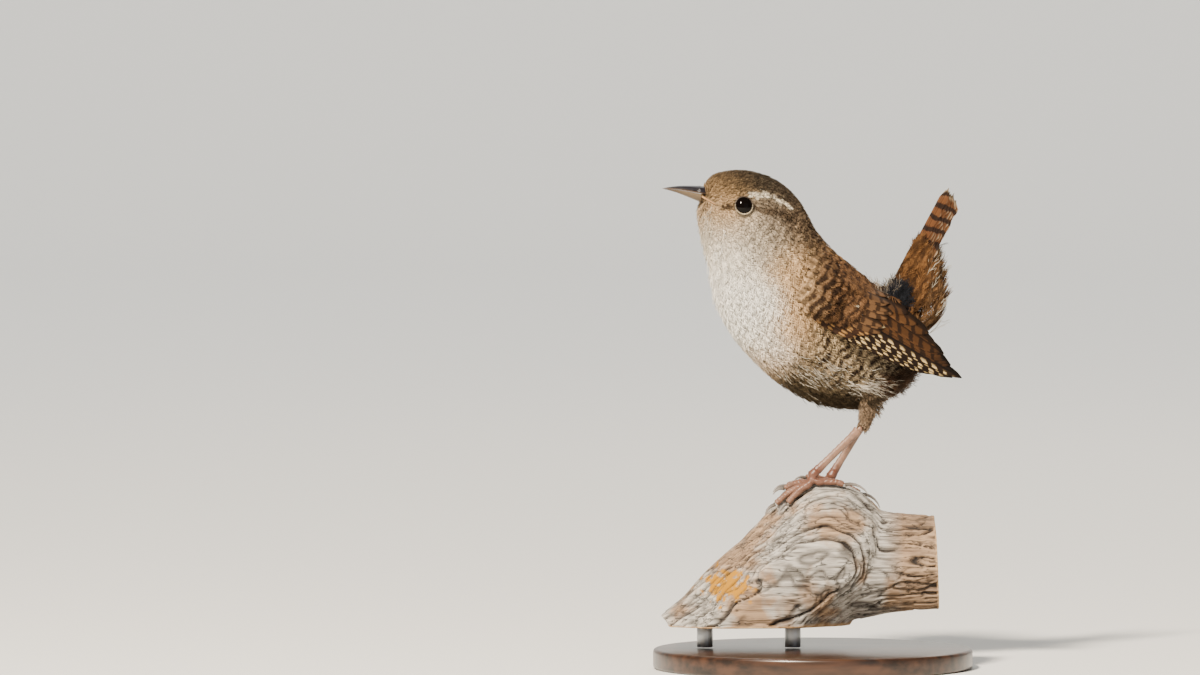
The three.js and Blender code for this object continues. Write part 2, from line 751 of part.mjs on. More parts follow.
function rodGeometry(x) {
  const length = ROD.length - 2 * GAP;
  const rod = new THREE.CylinderGeometry(ROD.radius, ROD.radius, length, ROD.sides);
  return rod.rotateX(Math.PI / 2).translate(x, 0, BASE.height + GAP + length / 2);
}

// The scene graph

const wren = new THREE.Group();
const bird = new THREE.Group();
bird.position.z = FEET_Z;
bird.rotation.z = YAW;
wren.add(bird);

function put(parent, name, geometry, color, roughness = 0.85, metalness = 0) {
  const material = new THREE.MeshStandardMaterial({ color, roughness, metalness });
  const mesh = new THREE.Mesh(geometry, material);
  mesh.name = name;
  parent.add(mesh);
  return mesh;
}

put(bird, "head", geometryOf(headSolid()), COLOURS.plumage);
put(bird, "neck", body.stretch(HEAD_END + PART_CLEARANCE, NECK_END - PART_CLEARANCE, 5), COLOURS.pale);
put(bird, "torso", body.stretch(NECK_END, body.last, TORSO_STEPS), COLOURS.pale);
put(bird, "bill_upper", geometryOf(upperBill()), COLOURS.bill, 0.4);
put(bird, "bill_lower", geometryOf(lowerBill()), COLOURS.mandible, 0.4);
put(bird, "tail", geometryOf(tailSolid()), COLOURS.tail);
for (const [name, leg] of Object.entries(LEGS)) {
  const { centre } = eyeSeat(leg.side);
  put(bird, `eye_${name}`, ballAt(centre, EYE.ball), COLOURS.eye, 0.05);
  put(bird, `wing_${name}`, geometryOf(wingSolid(leg.side)), COLOURS.wing);
  put(bird, `thigh_${name}`, geometryOf(thighSolid(leg)), COLOURS.plumage);
  put(bird, `tarsus_${name}`, geometryOf(shankSolid(leg)), COLOURS.leg, 0.5);
  put(bird, `foot_${name}`, geometryOf(footSolid(leg)), COLOURS.leg, 0.5);
  for (const toe of TOES) {
    put(bird, `claw_${toe.name}_${name}`, clawSolid(leg, toe), COLOURS.claw, 0.4);
  }
}

const perch = put(wren, "perch", perchGeometry, COLOURS.wood, 0.95);
perch.position.z = FEET_Z;
put(wren, "stand_base", baseGeometry(), COLOURS.stand, 0.5);
ROD.places.forEach((x, i) => put(wren, `stand_rod_${i + 1}`, rodGeometry(x), COLOURS.steel, 0.3, 1));

export default wren;
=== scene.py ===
# A Eurasian wren, life size, as a museum model on a sawn length of branch.
import math

import bmesh
import bpy
import numpy as np
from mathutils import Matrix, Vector, noise
from mathutils.bvhtree import BVHTree


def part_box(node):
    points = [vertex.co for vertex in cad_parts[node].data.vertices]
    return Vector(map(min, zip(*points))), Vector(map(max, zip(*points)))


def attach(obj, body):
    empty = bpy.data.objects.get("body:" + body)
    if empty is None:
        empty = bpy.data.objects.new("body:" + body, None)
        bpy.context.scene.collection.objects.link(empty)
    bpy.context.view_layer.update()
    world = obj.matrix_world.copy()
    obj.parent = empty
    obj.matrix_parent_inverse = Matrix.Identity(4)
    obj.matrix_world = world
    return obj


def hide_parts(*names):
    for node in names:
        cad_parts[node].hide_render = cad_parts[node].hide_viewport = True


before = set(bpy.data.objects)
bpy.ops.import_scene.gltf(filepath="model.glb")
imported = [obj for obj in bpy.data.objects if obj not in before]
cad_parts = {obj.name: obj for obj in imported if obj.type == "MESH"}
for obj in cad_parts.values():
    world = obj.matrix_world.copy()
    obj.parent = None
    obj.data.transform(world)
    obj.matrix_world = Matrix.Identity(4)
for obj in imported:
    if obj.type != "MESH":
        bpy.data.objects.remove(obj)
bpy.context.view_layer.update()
MM = 0.001

# Camera and studio
# A long lens stands level with the bird, three metres off, as a nature photographer's does.
# One small warm light stands high on the left like the sun, with weak fill and a pale paper sweep round it.
PIXELS_PER_MM = 4.0
PHOTO_WIDTH, PHOTO_HEIGHT = 1200, 675
SOLE_PIXEL = (813, 484.8)
SOLE = 46.0
CAMERA_DISTANCE = 3.0
CAMERA_PITCH = math.radians(2.5)
SENSOR_WIDTH = 36

aim = Vector((
    (PHOTO_WIDTH / 2 - SOLE_PIXEL[0]) / PIXELS_PER_MM,
    0,
    SOLE + (SOLE_PIXEL[1] - PHOTO_HEIGHT / 2) / PIXELS_PER_MM,
)) * MM
looking = Vector((0, math.cos(CAMERA_PITCH), -math.sin(CAMERA_PITCH)))
lens = bpy.data.cameras.new("camera")
lens.sensor_width = SENSOR_WIDTH
lens.lens = SENSOR_WIDTH * CAMERA_DISTANCE / (PHOTO_WIDTH / PIXELS_PER_MM * MM)
lens.clip_end = 60
camera = bpy.data.objects.new("camera", lens)
camera.location = aim - looking * CAMERA_DISTANCE
camera.rotation_euler = looking.to_track_quat("-Z", "Y").to_euler()
bpy.context.scene.collection.objects.link(camera)
bpy.context.scene.camera = camera


def linear(code):
    """Linear colour of an sRGB hex value."""
    channels = [int(code[i : i + 2], 16) / 255 for i in (1, 3, 5)]
    return [c / 12.92 if c <= 0.04045 else ((c + 0.055) / 1.055) ** 2.4 for c in channels]


def paint(name):
    """A new material with its node tree and its shader."""
    material = bpy.data.materials.new(name)
    material.use_nodes = True
    shader = material.node_tree.nodes["Principled BSDF"]
    return material, material.node_tree, shader


def node(tree, kind, links=(), **settings):
    """Adds one node. Settings that are no property of it are values of its inputs, by name or number."""
    made = tree.nodes.new(kind)
    for key, value in settings.items():
        if hasattr(made, key):
            setattr(made, key, value)
        else:
            socket = made.inputs[int(key[1:])] if key[0] == "i" and key[1:].isdigit() else made.inputs[key]
            socket.default_value = value
    for output, target in links:
        tree.links.new(output, made.inputs[target])
    return made


def light(name, place, aimed, power, size, colour):
    """A square lamp at a place in metres, turned towards another."""
    lamp = bpy.data.lights.new(name, "AREA")
    lamp.energy = power
    lamp.size = size
    lamp.color = linear(colour)
    made = bpy.data.objects.new(name, lamp)
    made.location = place
    made.rotation_euler = (Vector(aimed) - Vector(place)).to_track_quat("-Z", "Y").to_euler()
    bpy.context.scene.collection.objects.link(made)


light("sun_window", (-0.5, -1.12, 1.18), aim, 88, 0.2, "#fff1de")
light("front_fill", (0.8, -1.4, 0.5), aim, 1.6, 1.2, "#e8f0ff")
light("back_rim", (0.4, 1.0, 1.0), aim, 4, 0.6, "#fff6ea")
light("backdrop_wash", (0, 1.6, 2.8), (0, 3.6, 0.7), 85, 1.6, "#ffffff")
world = bpy.data.worlds.new("room")
world.use_nodes = True
world.node_tree.nodes["Background"].inputs["Color"].default_value = (*linear("#e6e8e6"), 1)
world.node_tree.nodes["Background"].inputs["Strength"].default_value = 0.2
bpy.context.scene.world = world

# The paper runs flat under the model, bends up in a wide curve and stands as a wall behind it.
FLOOR_HALF_WIDTH, FLOOR_DEPTH, WALL_HEIGHT, SWEEP = 6, 3.8, 3.6, 1.2
bpy.ops.object.select_all(action="DESELECT")
bpy.ops.mesh.primitive_plane_add(size=2, location=(0, 0, 0))
floor = bpy.context.object
floor.name = "floor"
floor.scale = (FLOOR_HALF_WIDTH, FLOOR_DEPTH, 1)
bpy.ops.object.transform_apply(location=True, rotation=True, scale=True)
bpy.ops.object.mode_set(mode="EDIT")
bpy.ops.mesh.select_mode(type="EDGE")
bpy.ops.mesh.select_all(action="DESELECT")
bpy.ops.object.mode_set(mode="OBJECT")
for edge in floor.data.edges:
    edge.select = all(floor.data.vertices[v].co.y > 1 for v in edge.vertices)
bpy.ops.object.mode_set(mode="EDIT")
bpy.ops.mesh.extrude_region_move(TRANSFORM_OT_translate={"value": (0, 0, WALL_HEIGHT)})
bpy.ops.mesh.select_all(action="DESELECT")
bpy.ops.object.mode_set(mode="OBJECT")
for edge in floor.data.edges:
    edge.select = all(
        floor.data.vertices[v].co.y > 1 and floor.data.vertices[v].co.z < 0.01 for v in edge.vertices
    )
bpy.ops.object.mode_set(mode="EDIT")
bpy.ops.mesh.bevel(offset=SWEEP, segments=32)
bpy.ops.object.mode_set(mode="OBJECT")
bpy.ops.object.shade_smooth()
# Matt uncoated paper, so it takes a soft shadow and no shine.
studio, tree, shader = paint("studio paper")
shader.inputs["Base Color"].default_value = (*linear("#e9e8e3"), 1)
shader.inputs["Roughness"].default_value = 0.9
floor.data.materials.append(studio)

# Bird's own frame
# The bird is carved along its own axis and then turned a little towards the viewer.
# Its frame is in millimetres from the branch between the feet, head towards -X, left side at -Y.
YAW = math.radians(12)
TURN = np.array([
    [math.cos(YAW), -math.sin(YAW), 0],
    [math.sin(YAW), math.cos(YAW), 0],
    [0, 0, 1],
])


def to_world(points):
    """Metres in the part's frame, of millimetres in the bird's."""
    return (points @ TURN.T + np.array([0, 0, SOLE])) * MM


def to_bird(points):
    """Millimetres in the bird's frame, of metres in the part's."""
    return (points / MM - np.array([0, 0, SOLE])) @ TURN


def points_of(mesh):
    """An array of a mesh's points."""
    flat = np.empty(len(mesh.vertices) * 3)
    mesh.vertices.foreach_get("co", flat)
    return flat.reshape(-1, 3)


def set_points(mesh, points):
    mesh.vertices.foreach_set("co", points.ravel())
    mesh.update()


def activate(piece):
    """Makes one object the only one selected."""
    bpy.ops.object.select_all(action="DESELECT")
    piece.select_set(True)
    bpy.context.view_layer.objects.active = piece


def modify(piece, kind, **settings):
    """Adds a modifier and applies it."""
    activate(piece)
    modifier = piece.modifiers.new(kind.lower(), kind)
    for key, value in settings.items():
        setattr(modifier, key, value)
    bpy.ops.object.modifier_apply(modifier=modifier.name)


def copy_nodes(name, nodes):
    """One object made of copies of CAD nodes, with their loose triangles joined."""
    shell = bmesh.new()
    for each in nodes:
        shell.from_mesh(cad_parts[each].data)
    bmesh.ops.remove_doubles(shell, verts=shell.verts, dist=1e-6)
    mesh = bpy.data.meshes.new(name)
    shell.to_mesh(mesh)
    shell.free()
    mesh.materials.clear()
    made = bpy.data.objects.new(name, mesh)
    bpy.context.scene.collection.objects.link(made)
    return made


def smooth_shaded(piece):
    activate(piece)
    bpy.ops.object.shade_smooth()


def solid_mesh(name, points, triangles, material):
    """A new object from an array of points and one of triangles."""
    mesh = bpy.data.meshes.new(name)
    mesh.vertices.add(len(points))
    mesh.vertices.foreach_set("co", points.ravel())
    mesh.loops.add(triangles.size)
    mesh.loops.foreach_set("vertex_index", triangles.ravel().astype(np.int32))
    mesh.polygons.add(len(triangles))
    mesh.polygons.foreach_set("loop_start", np.arange(0, triangles.size, 3, dtype=np.int32))
    mesh.update(calc_edges=True)
    mesh.materials.append(material)
    made = bpy.data.objects.new(name, mesh)
    bpy.context.scene.collection.objects.link(made)
    return made


def store(mesh, name, values):
    """A per-point attribute: one number each, or a colour."""
    if values.ndim == 1:
        mesh.attributes.new(name, "FLOAT", "POINT").data.foreach_set("value", values.astype(np.float32))
        return
    colour = np.ones((len(values), 4), dtype=np.float32)
    colour[:, :3] = values
    mesh.attributes.new(name, "FLOAT_COLOR", "POINT").data.foreach_set("color", colour.ravel())


# Plumage colours
# A wren is rufous brown above and buff below, with a pale brow and fine dark bars that grow to the rear.
# Each zone of the plumage has a place x, z on the bird's side, a colour, and a share of dark barring.
# The belly and vent are their own brown darkened, and the underside is near black: painted shade under the
# body.
HUES = {
    "crown": "#3b3327", "nape": "#413629", "mantle": "#735a40", "back": "#6a4a2d", "rump": "#66462c",
    "lores": "#b99568", "forehead": "#3f3426", "ear": "#857461", "cheek": "#b9ac97", "chin": "#bfb39e",
    "throat": "#e2dacb", "breast": "#f8f4ea", "breast_side": "#d4b083", "neck_side": "#6f5b45",
    "flank": "#b39d7c", "belly": "#62543e", "vent": "#2c2017", "covert": "#74502f", "undertail": "#66553f",
    "down": "#20242e", "thigh": "#a08870", "flank_rear": "#94866f", "under": "#2c251b",
}
ZONES = [
    ("forehead", -27, 75, 0.1), ("forehead", -24, 75.6, 0.1), ("crown", -23, 78.5, 0.3),
    ("crown", -19, 78.5, 0.3), ("crown", -11, 76.5, 0.35), ("nape", -5, 72, 0.4),
    ("lores", -26, 72, 0.05), ("lores", -25, 69.5, 0.05), ("ear", -13, 67, 0.3),
    ("cheek", -19, 64.5, 0.22), ("cheek", -14, 62, 0.3), ("chin", -28, 66.5, 0.1),
    ("throat", -28, 60, 0.1), ("throat", -22, 58, 0.1), ("neck_side", -7, 65, 0.5),
    ("breast_side", -9, 56, 0.2), ("breast", -25, 50, 0), ("breast", -23, 42, 0), ("breast", -17, 48, 0),
    ("breast_side", -6, 49, 0.12), ("breast", -15, 36, 0.05), ("breast_side", -8, 40, 0.15),
    ("mantle", -1, 53, 0.5), ("mantle", 0, 46, 0.6), ("nape", -1, 67, 0.55), ("mantle", 3, 60, 0.6),
    ("back", 7, 54, 0.8), ("back", 14, 49, 0.85), ("rump", 20, 44, 0.6), ("flank", -2, 36, 0.95),
    # The belly, underside and vent zones in the next lines carry painted shade.
    ("flank", 4, 30, 0.95), ("flank_rear", 11, 27, 1.0), ("belly", -7, 28.5, 0.2), ("under", -9, 25, 0.2),
    ("belly", 1, 24.5, 0.5), ("under", 1, 20, 0.3), ("under", 9, 19, 0.3), ("breast_side", -16, 31, 0.1),
    ("vent", 15, 22, 0.9), ("vent", 24, 28, 0.9), ("covert", 23, 50, 0.45), ("covert", 27, 48, 0.45),
    ("covert", 27, 56, 0.5), ("undertail", 31, 40, 0.6), ("down", 19.5, 47.5, 0),
    ("thigh", 12.5, 18, 0.05), ("thigh", 15.5, 18, 0.05),
]
ZONE_REACH = 3.6
BAR_BOOST = 1.3
# The marks of the face: a pale brow, a dark stripe behind the eye and a dark spot ahead of it.
BROW = [(-18.6, 72.6), (-15.0, 73.1), (-11.4, 72.2), (-8.0, 70.4)]
EYE_STRIPE = [(-16.6, 69.9), (-12.4, 69.2), (-8.5, 67.8)]
LORAL_SPOT = [(-25.2, 70.2), (-22.2, 70.0)]


def near_line(side_view, line):
    """Distance from each point to a bent line, and the share of the line gone at the nearest place."""
    best = np.full(len(side_view), 1e9)
    share = np.zeros(len(side_view))
    for i, (a, b) in enumerate(zip(line, line[1:])):
        a, b = np.array(a), np.array(b)
        t = np.clip((side_view - a) @ (b - a) / ((b - a) @ (b - a)), 0, 1)
        gone = np.linalg.norm(side_view - a - t[:, None] * (b - a), axis=1)
        nearer = gone < best
        share[nearer] = (i + t[nearer]) / (len(line) - 1)
        best = np.minimum(best, gone)
    return best, share


def blend_tones(first, second, share):
    """Mixes two hex colours, or rows of linear colour, by a share at each point."""
    first = np.array(linear(first)) if isinstance(first, str) else first
    second = np.array(linear(second)) if isinstance(second, str) else second
    return first * (1 - share[:, None]) + second * share[:, None]


def plumage_at(points):
    """Colour and share of barring at points of the bird's frame."""
    side_view = points[:, [0, 2]]
    places = np.array([(x, z) for _, x, z, _ in ZONES])
    colours = np.array([linear(HUES[name]) for name, *_ in ZONES])
    bars = np.array([share for *_, share in ZONES])
    away = ((side_view[:, None, :] - places[None]) ** 2).sum(axis=2)
    weights = np.exp(-(away - away.min(axis=1, keepdims=True)) / (2 * ZONE_REACH**2))
    weights /= weights.sum(axis=1, keepdims=True)
    colour = weights @ colours
    bar = np.clip(BAR_BOOST * weights @ bars, 0, 1)
    on_side = np.clip((np.abs(points[:, 1]) - 2.5) / 1.5, 0, 1)
    for line, hue, widths, strength in (
        (BROW, "#cdc1ab", (0.62, 0.4), 1.0),
        (EYE_STRIPE, "#35291c", (0.8, 1.4), 0.9),
        (LORAL_SPOT, "#33261a", (0.55, 0.75), 0.85),
    ):
        gone, share = near_line(side_view, line)
        width = widths[0] + (widths[1] - widths[0]) * share
        mask = np.clip(1.4 - gone / width, 0, 1) * strength * on_side
        colour = colour * (1 - mask[:, None]) + np.array(linear(hue)) * mask[:, None]
        bar = bar * (1 - mask)
    return colour, bar


# Bars run across the lie of the back and flanks, about two millimetres apart, wavy and broken.
BAR_WAVE = 2.15


def bar_wave(points, shift):
    """How deep in a dark bar each point lies, from 0 to 1."""
    x, y, z = points[..., 0], points[..., 1], points[..., 2]
    along_body = 0.8 * x - 0.6 * z
    waver = np.sin(0.9 * x + 0.7 * z + 0.5 * y) + 0.8 * np.sin(1.9 * z - 1.1 * x + 1.3 * y) + shift
    level = np.sin(2 * math.pi * along_body / BAR_WAVE + 1.1 * waver)
    return np.clip(level * 1.6 + 0.25, 0, 1)


# Soft feather barbs are matt and finely flecked, each feather a little lighter or darker than the next.
plumage, tree, shader = paint("feather vane")
tone = node(tree, "ShaderNodeAttribute", attribute_name="tone")
bar = node(tree, "ShaderNodeAttribute", attribute_name="bar")
grain = node(tree, "ShaderNodeAttribute", attribute_name="grain")
place = node(tree, "ShaderNodeTexCoord")
mottle = node(tree, "ShaderNodeTexNoise", [(place.outputs["Object"], "Vector")], Scale=2200, Detail=2)
fleck = node(tree, "ShaderNodeMapRange", [(mottle.outputs["Fac"], "Value")])
fleck.inputs["From Min"].default_value = 0.35
fleck.inputs["From Max"].default_value = 0.7
fleck.inputs["To Min"].default_value = 0.82
fleck.inputs["To Max"].default_value = 1.14
feather_tone = node(tree, "ShaderNodeMapRange", [(grain.outputs["Fac"], "Value")])
feather_tone.inputs["To Min"].default_value = 0.88
feather_tone.inputs["To Max"].default_value = 1.1
lit = node(tree, "ShaderNodeMath", [
    (fleck.outputs[0], 0), (feather_tone.outputs[0], 1),
], operation="MULTIPLY")
shaded = node(tree, "ShaderNodeVectorMath", [
    (tone.outputs["Color"], 0), (lit.outputs[0], 1),
], operation="MULTIPLY")
mixed = node(tree, "ShaderNodeMix", [
    (bar.outputs["Fac"], "Factor"), (shaded.outputs[0], 6),
], data_type="RGBA")
mixed.inputs[7].default_value = (*linear("#20140c"), 1)
tree.links.new(mixed.outputs[2], shader.inputs["Base Color"])
shader.inputs["Roughness"].default_value = 0.8
shader.inputs["Specular IOR Level"].default_value = 0.12

# Skin
# The mount's body under the feathers: head, neck, trunk and thighs in one, with the root of the tail.
# It is cast in one piece, so no joint shows, and lies a coat's depth inside the plumage's surface.
SKIN_CELL = 0.45
BODY_DEPTH = 1.15
FACE_DEPTH = 0.55
HEEL_TAPER = 0.55
# The skin is painted darker than the plumage over it, as the shade deep in the coat between the feathers.
SKIN_PAINTED_SHADE = 0.55
TAIL_DEGREES = 61.5

skin = copy_nodes("skin", [
    "head", "neck", "torso", "thigh_left", "thigh_right", "eye_left", "eye_right",
])
bpy.ops.object.select_all(action="DESELECT")
# The fleshy root of the tail is built up of three lumps, each a centre, a half width and a half height.
TAIL_LUMPS = [((20.5, 0, 42.0), 7.2, 10.5), ((24.5, 0, 47.0), 5.6, 9.5), ((26.5, 0, 51.5), 4.0, 8.5)]
LUMP_DEEP, LUMP_WIDE = 0.85, 0.8
for centre, half, tall in TAIL_LUMPS:
    bpy.ops.mesh.primitive_uv_sphere_add(segments=32, ring_count=20, radius=1)
    lump = bpy.context.object
    lump.scale = (half * MM * LUMP_DEEP, half * MM * LUMP_WIDE, tall * MM)
    lump.rotation_euler = (0, math.radians(90 - TAIL_DEGREES), YAW)
    lump.location = to_world(np.array([centre]))[0]
    bpy.ops.object.transform_apply(location=True, rotation=True, scale=True)
    skin.select_set(True)
    bpy.context.view_layer.objects.active = skin
    bpy.ops.object.join()
    bpy.ops.object.select_all(action="DESELECT")
modify(skin, "REMESH", mode="VOXEL", voxel_size=SKIN_CELL * MM)
modify(skin, "SMOOTH", factor=0.5, iterations=6)


def normals_of(mesh):
    """An array of the normals at a mesh's points."""
    flat = np.empty(len(mesh.vertices) * 3)
    mesh.vertices.foreach_get("normal", flat)
    return flat.reshape(-1, 3)


def coat_depth(points):
    """Depth of the coat in millimetres: shallow on the face and thighs, full on the body."""
    face = np.clip((points[:, 2] - 56) / 8 + (-points[:, 0] - 16) / 14, 0, 1)
    thigh = np.clip((20.5 - points[:, 2]) / 3, 0, 1)
    heel = np.clip((20 - points[:, 2]) / 3.5, 0, 1) * HEEL_TAPER
    return BODY_DEPTH + (FACE_DEPTH - BODY_DEPTH) * np.maximum(face, thigh) + heel


skin_points = to_bird(points_of(skin.data))
skin_normals = normals_of(skin.data) @ TURN
skin_points -= skin_normals * coat_depth(skin_points)[:, None]
set_points(skin.data, to_world(skin_points))
modify(skin, "SMOOTH", factor=0.5, iterations=4)
skin_points = to_bird(points_of(skin.data))
tone_values, _ = plumage_at(skin_points)
# Painted shade: the skin between the feathers takes the plumage's colours darkened.
store(skin.data, "tone", tone_values * SKIN_PAINTED_SHADE)
store(skin.data, "bar", np.zeros(len(skin_points)))
store(skin.data, "grain", np.full(len(skin_points), 0.5))
skin.data.materials.append(plumage)
smooth_shaded(skin)
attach(skin, "root")
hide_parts("head", "neck", "torso", "thigh_left", "thigh_right")

# Body feathers
# Small soft contour feathers in overlapping rows, each a fan of barbs on a short shaft.
# They lie back along the body as wind and water run off it, and are set in one by one.
# Each place x, z on the bird's side has the direction that the feathers take there.
LIE = [
    (-28, 75, 0.6, 0.8), (-25, 78, 0.8, 0.5), (-18, 79, 1, 0), (-9, 76, 0.85, -0.5), (-3, 70, 0.6, -0.8),
    (6, 59, 0.65, -0.75), (15, 51, 0.72, -0.7), (21, 44, 0.8, -0.5), (-28, 69, 0.25, -1), (-28, 62, 0.15, -1),
    (-26, 50, 0.25, -1), (-22, 40, 0.5, -0.9), (-12, 28, 0.85, -0.5), (0, 21, 1, -0.25), (14, 20, 1, 0.1),
    (-18, 64, 0.7, -0.7), (-12, 67, 0.75, -0.65), (-26, 71.5, 0.9, -0.35), (-10, 58, 0.5, -0.85),
    (-8, 48, 0.5, -0.86), (2, 35, 0.78, -0.62), (14, 28, 0.92, -0.35), (22, 51, 0.42, 0.9),
    (26, 48, 0.46, 0.88), (30, 40, 0.4, 0.9), (27, 31, 0.6, 0.7), (12.5, 17, -0.1, -1), (15.5, 17, -0.1, -1),
    (-20, 72.5, 0.9, 0.1),
]
LIE_REACH = 4.5
FEATHERS = 11500
random = np.random.default_rng(7)


def lie_at(points, normals):
    """Unit directions along the surface that the feathers take."""
    side_view = points[:, [0, 2]]
    places = np.array([(x, z) for x, z, _, _ in LIE], dtype=float)
    ways = np.array([(a, b) for _, _, a, b in LIE], dtype=float)
    ways /= np.linalg.norm(ways, axis=1, keepdims=True)
    away = ((side_view[:, None, :] - places[None]) ** 2).sum(axis=2)
    weights = np.exp(-(away - away.min(axis=1, keepdims=True)) / (2 * LIE_REACH**2))
    flat = weights @ ways
    way = np.stack([flat[:, 0], np.zeros(len(flat)), flat[:, 1]], axis=1)
    way -= normals * (way * normals).sum(axis=1, keepdims=True)
    size = np.linalg.norm(way, axis=1, keepdims=True)
    way = np.where(size > 0.15, way, way + np.array([0.3, 0, -0.3]))
    way -= normals * (way * normals).sum(axis=1, keepdims=True)
    return way / np.linalg.norm(way, axis=1, keepdims=True)


FEATHER_MM = dict(body=3.8, longer_flank=1.1, head=2.2, face=1.25, thigh=1.7, tail_root=6.0)


def feather_length(points):
    """Length of a contour feather in millimetres at each place."""
    x, z = points[:, 0], points[:, 2]
    length = np.full(len(points), FEATHER_MM["body"])
    length += FEATHER_MM["longer_flank"] * np.clip((x + 5) / 20, 0, 1) * np.clip((45 - z) / 10, 0, 1)
    head = np.clip((z - 54) / 12, 0, 1)
    length += (FEATHER_MM["head"] - length) * head
    face = np.clip((-x - 15) / 9, 0, 1) * np.clip((z - 60) / 6, 0, 1)
    length += (FEATHER_MM["face"] - length) * face
    thigh = np.clip((21 - z) / 2, 0, 1) * (x > 7)
    length += (FEATHER_MM["thigh"] - length) * thigh
    tail_root = np.clip((z - 46) / 4, 0, 1) * (x > 18)
    length += (FEATHER_MM["tail_root"] - length) * tail_root
    return length


def scatter(mesh, count, spacing_at):
    """Seeded places on a mesh, kept apart by a distance that changes over it, with their normals."""
    mesh.calc_loop_triangles()
    corners = np.empty(len(mesh.loop_triangles) * 3, dtype=np.int32)
    mesh.loop_triangles.foreach_get("vertices", corners)
    corners = corners.reshape(-1, 3)
    points = to_bird(points_of(mesh))
    normals = normals_of(mesh) @ TURN
    a, b, c = (points[corners[:, k]] for k in range(3))
    area = np.linalg.norm(np.cross(b - a, c - a), axis=1) / 2
    want = area / spacing_at((a + b + c) / 3) ** 2
    chosen = random.choice(len(corners), size=count * 4, p=want / want.sum())
    u, v = random.random((2, len(chosen)))
    flip = u + v > 1
    u[flip], v[flip] = 1 - u[flip], 1 - v[flip]
    w = 1 - u - v
    tri = corners[chosen]
    shares = np.stack([w, u, v], axis=1)[..., None]
    places = (points[tri] * shares).sum(axis=1)
    faces = (normals[tri] * shares).sum(axis=1)
    faces /= np.linalg.norm(faces, axis=1, keepdims=True)
    apart = spacing_at(places)
    cell = apart.max()
    taken = {}
    kept = []
    for i, (p, r) in enumerate(zip(places, apart)):
        key = tuple((p // cell).astype(int))
        crowded = False
        for dx in (-1, 0, 1):
            for dy in (-1, 0, 1):
                for dz in (-1, 0, 1):
                    for j in taken.get((key[0] + dx, key[1] + dy, key[2] + dz), ()):
                        q = places[j]
                        gap = (p[0] - q[0]) ** 2 + (p[1] - q[1]) ** 2 + (p[2] - q[2]) ** 2
                        if gap < (0.5 * (r + apart[j])) ** 2:
                            crowded = True
                            break
        if not crowded:
            taken.setdefault(key, []).append(i)
            kept.append(i)
    return places[kept], faces[kept]


SPINE = [(-29, 73), (-18, 68), (-10, 56), (2, 41), (14, 33), (22, 38), (30, 56)]


def spine_unwrap(points):
    """Place of each point on the body unrolled round the line from bill to tail, both ways 0 to 1."""
    line = np.array(SPINE, dtype=float)
    side_view = points[:, [0, 2]]
    _, share = near_line(side_view, SPINE)
    at = share * (len(line) - 1)
    i = np.clip(at.astype(int), 0, len(line) - 2)
    centre = line[i] + (line[i + 1] - line[i]) * (at - i)[:, None]
    way = line[i + 1] - line[i]
    way /= np.linalg.norm(way, axis=1, keepdims=True)
    rise = (side_view[:, 1] - centre[:, 1]) * way[:, 0] - (side_view[:, 0] - centre[:, 0]) * way[:, 1]
    angle = np.arctan2(points[:, 1], rise)
    return share, angle / (2 * math.pi) + 0.5


# A barb is seven points: three across its foot, three across its middle and one at its tip.
# Barbs are drawn several times as broad as in life, so that they show and cover the skin.
BARB_WIDTH = 0.13
BARB_POINTS = 7
BARB_SPAN, BARB_BOW = 0.36, 0.62
VANE_CAMBER = 0.12
RIDGE = 0.05
PATCH = 0.003
BARB_FACES = np.array([
    [0, 3, 4], [0, 4, 1], [1, 4, 5], [1, 5, 2], [2, 5, 3], [2, 3, 0],
    [3, 6, 4], [4, 6, 5], [5, 6, 3], [0, 1, 2],
])


